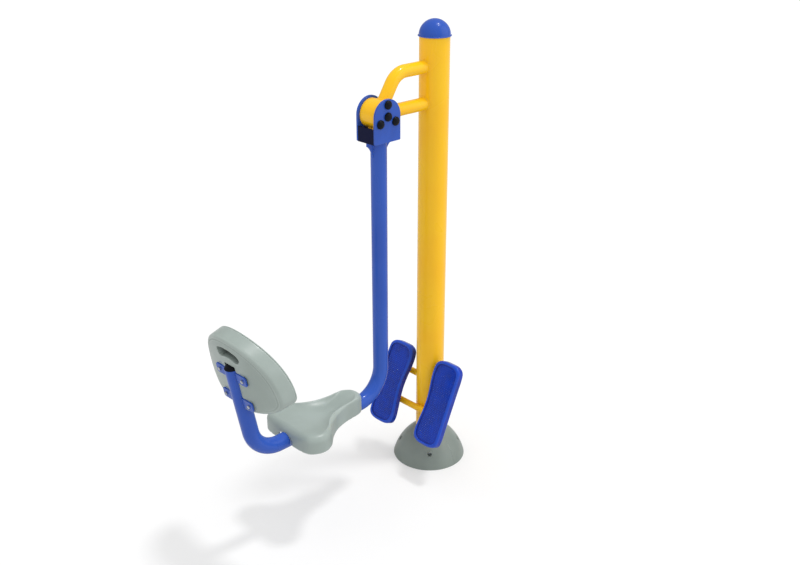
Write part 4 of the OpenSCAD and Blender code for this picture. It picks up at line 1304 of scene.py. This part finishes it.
tube_room = tube_radius + 0.9
seat_hollow = Shape(seat_form(seat_wall, seat_skirt - 5))
seat_cuts = Shape().add(rod(tube_room, -20, seat_length + 20, 72), squared("Y"))
arch_half = 38.0
arch_depth = 42.0
arch = [
    (arch_half * cos(a), tube_room * sin(a))
    for a in (radians(d) for d in range(-30, 211, 8))
]
seat_cuts.add(loft([[(x, y, z) for y, z in arch] for x in (-5, arch_depth)]))
seat_bosses = Shape()
for x in seat_ear_places:
    for side in (-1, 1):
        seat_bosses.add(
            turned([(4.2, 3.2), (12, 3.2), (12, 40), (4.2, 40)], 32),
            moved(x, side * (seat_ear_reach - ear_width / 2), 0),
        )
seat = moulded(
    "seat", Shape(seat_form(0, seat_skirt)),
    [("DIFFERENCE", seat_hollow), ("UNION", seat_bosses), ("DIFFERENCE", seat_cuts)],
    grain=2.0, rounds=3, place=moved(seat_rear_x, 0, seat_level),
)
moulded_grey = ("swing_arm", "moulded_grey", grey_plastic)
piece("seat_moulding", moulded_grey, seat, "seat", smooth=False)

# The backrest: two grey mouldings joined at their rims. The deep rear one takes the tube, the
# ears and their bolts, the front one is a thin skin, and a hand slot goes through both.
back_width = 412.0
back_top = 299.0
back_belly = 82.0
back_thick = 62.0
back_wrap = 46.0
back_skin = 6.0
back_lift = 113.0
back_round = 12.0
back_taper = 4.0
back_groove = 2.0
back_middle = Vector((0.0, 120.0))
back_line = [
    Vector((
        back_width / 2 * cos(a), back_belly
        + (back_top - back_belly if a < pi else back_belly) * sin(a),
    )) for a in circle(180)
]


def back_ring(inset, share, depth):
    """The backrest's outline, drawn in and bent round the rider, at a depth from its rear face."""
    line = [drawn_in(p, back_middle, inset, share) for p in back_line]
    return [(back_face + back_wrap * (p.x / (back_width / 2)) ** 2 + depth, p.x, back_lift + p.y)
            for p in line]


slot_width = 124.0
slot_height = 36.0
slot_middle = 350.0
slot_bow = slot_width * 0.9
slot_reach = asin((slot_width - slot_height) / 2 / slot_bow)


def hand_slot(start, end):
    """The arched slot with round ends, as a cutter along X."""
    half = slot_height / 2
    reach = degrees(slot_reach)
    right = (slot_bow * sin(slot_reach), slot_bow * cos(slot_reach))
    line = arc((0, 0), slot_bow + half, 90 + reach, 90 - reach, 24)[:-1]
    line += arc(right, half, 90 - reach, -90 - reach, 14)[:-1]
    line += arc((0, 0), slot_bow - half, 90 - reach, 90 + reach, 24)[:-1]
    line += arc((-right[0], right[1]), half, reach - 90, reach - 270, 14)[:-1]
    return loft([[(x, y, slot_middle - slot_bow + z) for y, z in line] for x in (start, end)])


shares = (0.03, 0.12, 0.22, 0.32, 0.42, 0.52, 0.62, 0.72, 0.82, 0.91)
quarter_turn = [radians(90 - 10 * i) for i in range(10)]
mouth = back_thick - back_skin


def mark_slot_shade(mesh):
    """Keeps on each point how far it lies in the hand slot, for the painted shade there: 1 is 25 mm
    or more from its mouth.
    """
    turn = np.array(on_upright.inverted())
    x, y, z = turn[:3, :3] @ read(mesh.vertices, "co", 3).T / MM + turn[:3, 3:]
    rise = z - slot_middle + slot_bow
    along = np.clip(np.arctan2(y, rise), -slot_reach, slot_reach)
    away = np.hypot(y - slot_bow * np.sin(along), rise - slot_bow * np.cos(along))
    near = away < slot_height / 2 + 0.5
    depth = x - back_face - back_wrap * (y / (back_width / 2)) ** 2
    keep(mesh, "deep", near * np.clip(depth / 25, 0, 1))
    return mesh


rear_edge = back_taper + back_round
rear_rings = [back_ring(rear_edge + 8, share, 0) for share in shares]
rear_rings += [back_ring(rear_edge + inset, 1, depth) for inset, depth in (
    (9.0, 0), (8.0, 0.15), (6.5, 0.55 * back_groove), (5.2, 0.95 * back_groove),
    (4.0, back_groove), (2.8, 0.9 * back_groove), (1.4, 0.35 * back_groove),
)]
rear_rings += [
    back_ring(rear_edge - back_round * cos(a), 1, back_round * (1 - sin(a)))
    for a in quarter_turn
]
rear_rings += [
    back_ring(inset, 1, mouth - depth) for inset, depth in ((0, 1.2), (0.4, 0.4), (1.2, 0))
]
rear_rings += [back_ring(1.2, share, mouth) for share in shares[::-1]]
slot_cut = hand_slot(back_face - 12, back_thick + 60)
rear_cuts = Shape(rod(tube_room, -10, upright_length + plug_rise + 2, 72), slot_cut)
ear_pockets = Shape()
for rise in back_ear_places:
    ear_pockets.add(rounded_block(
        (back_face - 24, -back_ear_reach - 0.6, rise - ear_width / 2 - 0.6),
        (back_face + 1 + ear_sheet / 2, back_ear_reach + 0.6, rise + ear_width / 2 + 0.6), 7.0,
    ))
back_rear = moulded(
    "backrest_rear", Shape(loft(rear_rings)),
    [("DIFFERENCE", rear_cuts), ("DIFFERENCE", ear_pockets)],
    grain=2.0, rounds=3, place=on_upright,
)
piece("backrest_rear_moulding", moulded_grey, mark_slot_shade(back_rear), "backrest_shell", smooth=False)
skin_edge = 4.0
front_rings = [back_ring(skin_edge, share, back_thick) for share in shares]
front_rings += [
    back_ring(skin_edge * (1 - cos(a)), 1, back_thick - skin_edge * (1 - sin(a)))
    for a in quarter_turn
]
front_rings += [back_ring(0.0, 1, mouth + 1.1), back_ring(0.9, 1, mouth + 0.3)]
front_rings += [back_ring(0.9, share, mouth + 0.3) for share in shares[::-1]]
back_front = moulded(
    "backrest_front", Shape(loft(front_rings)), [("DIFFERENCE", Shape(slot_cut))],
    grain=1.6, rounds=2, place=on_upright,
)
piece("backrest_front_moulding", moulded_grey, mark_slot_shade(back_front), "backrest_front",
      smooth=False)
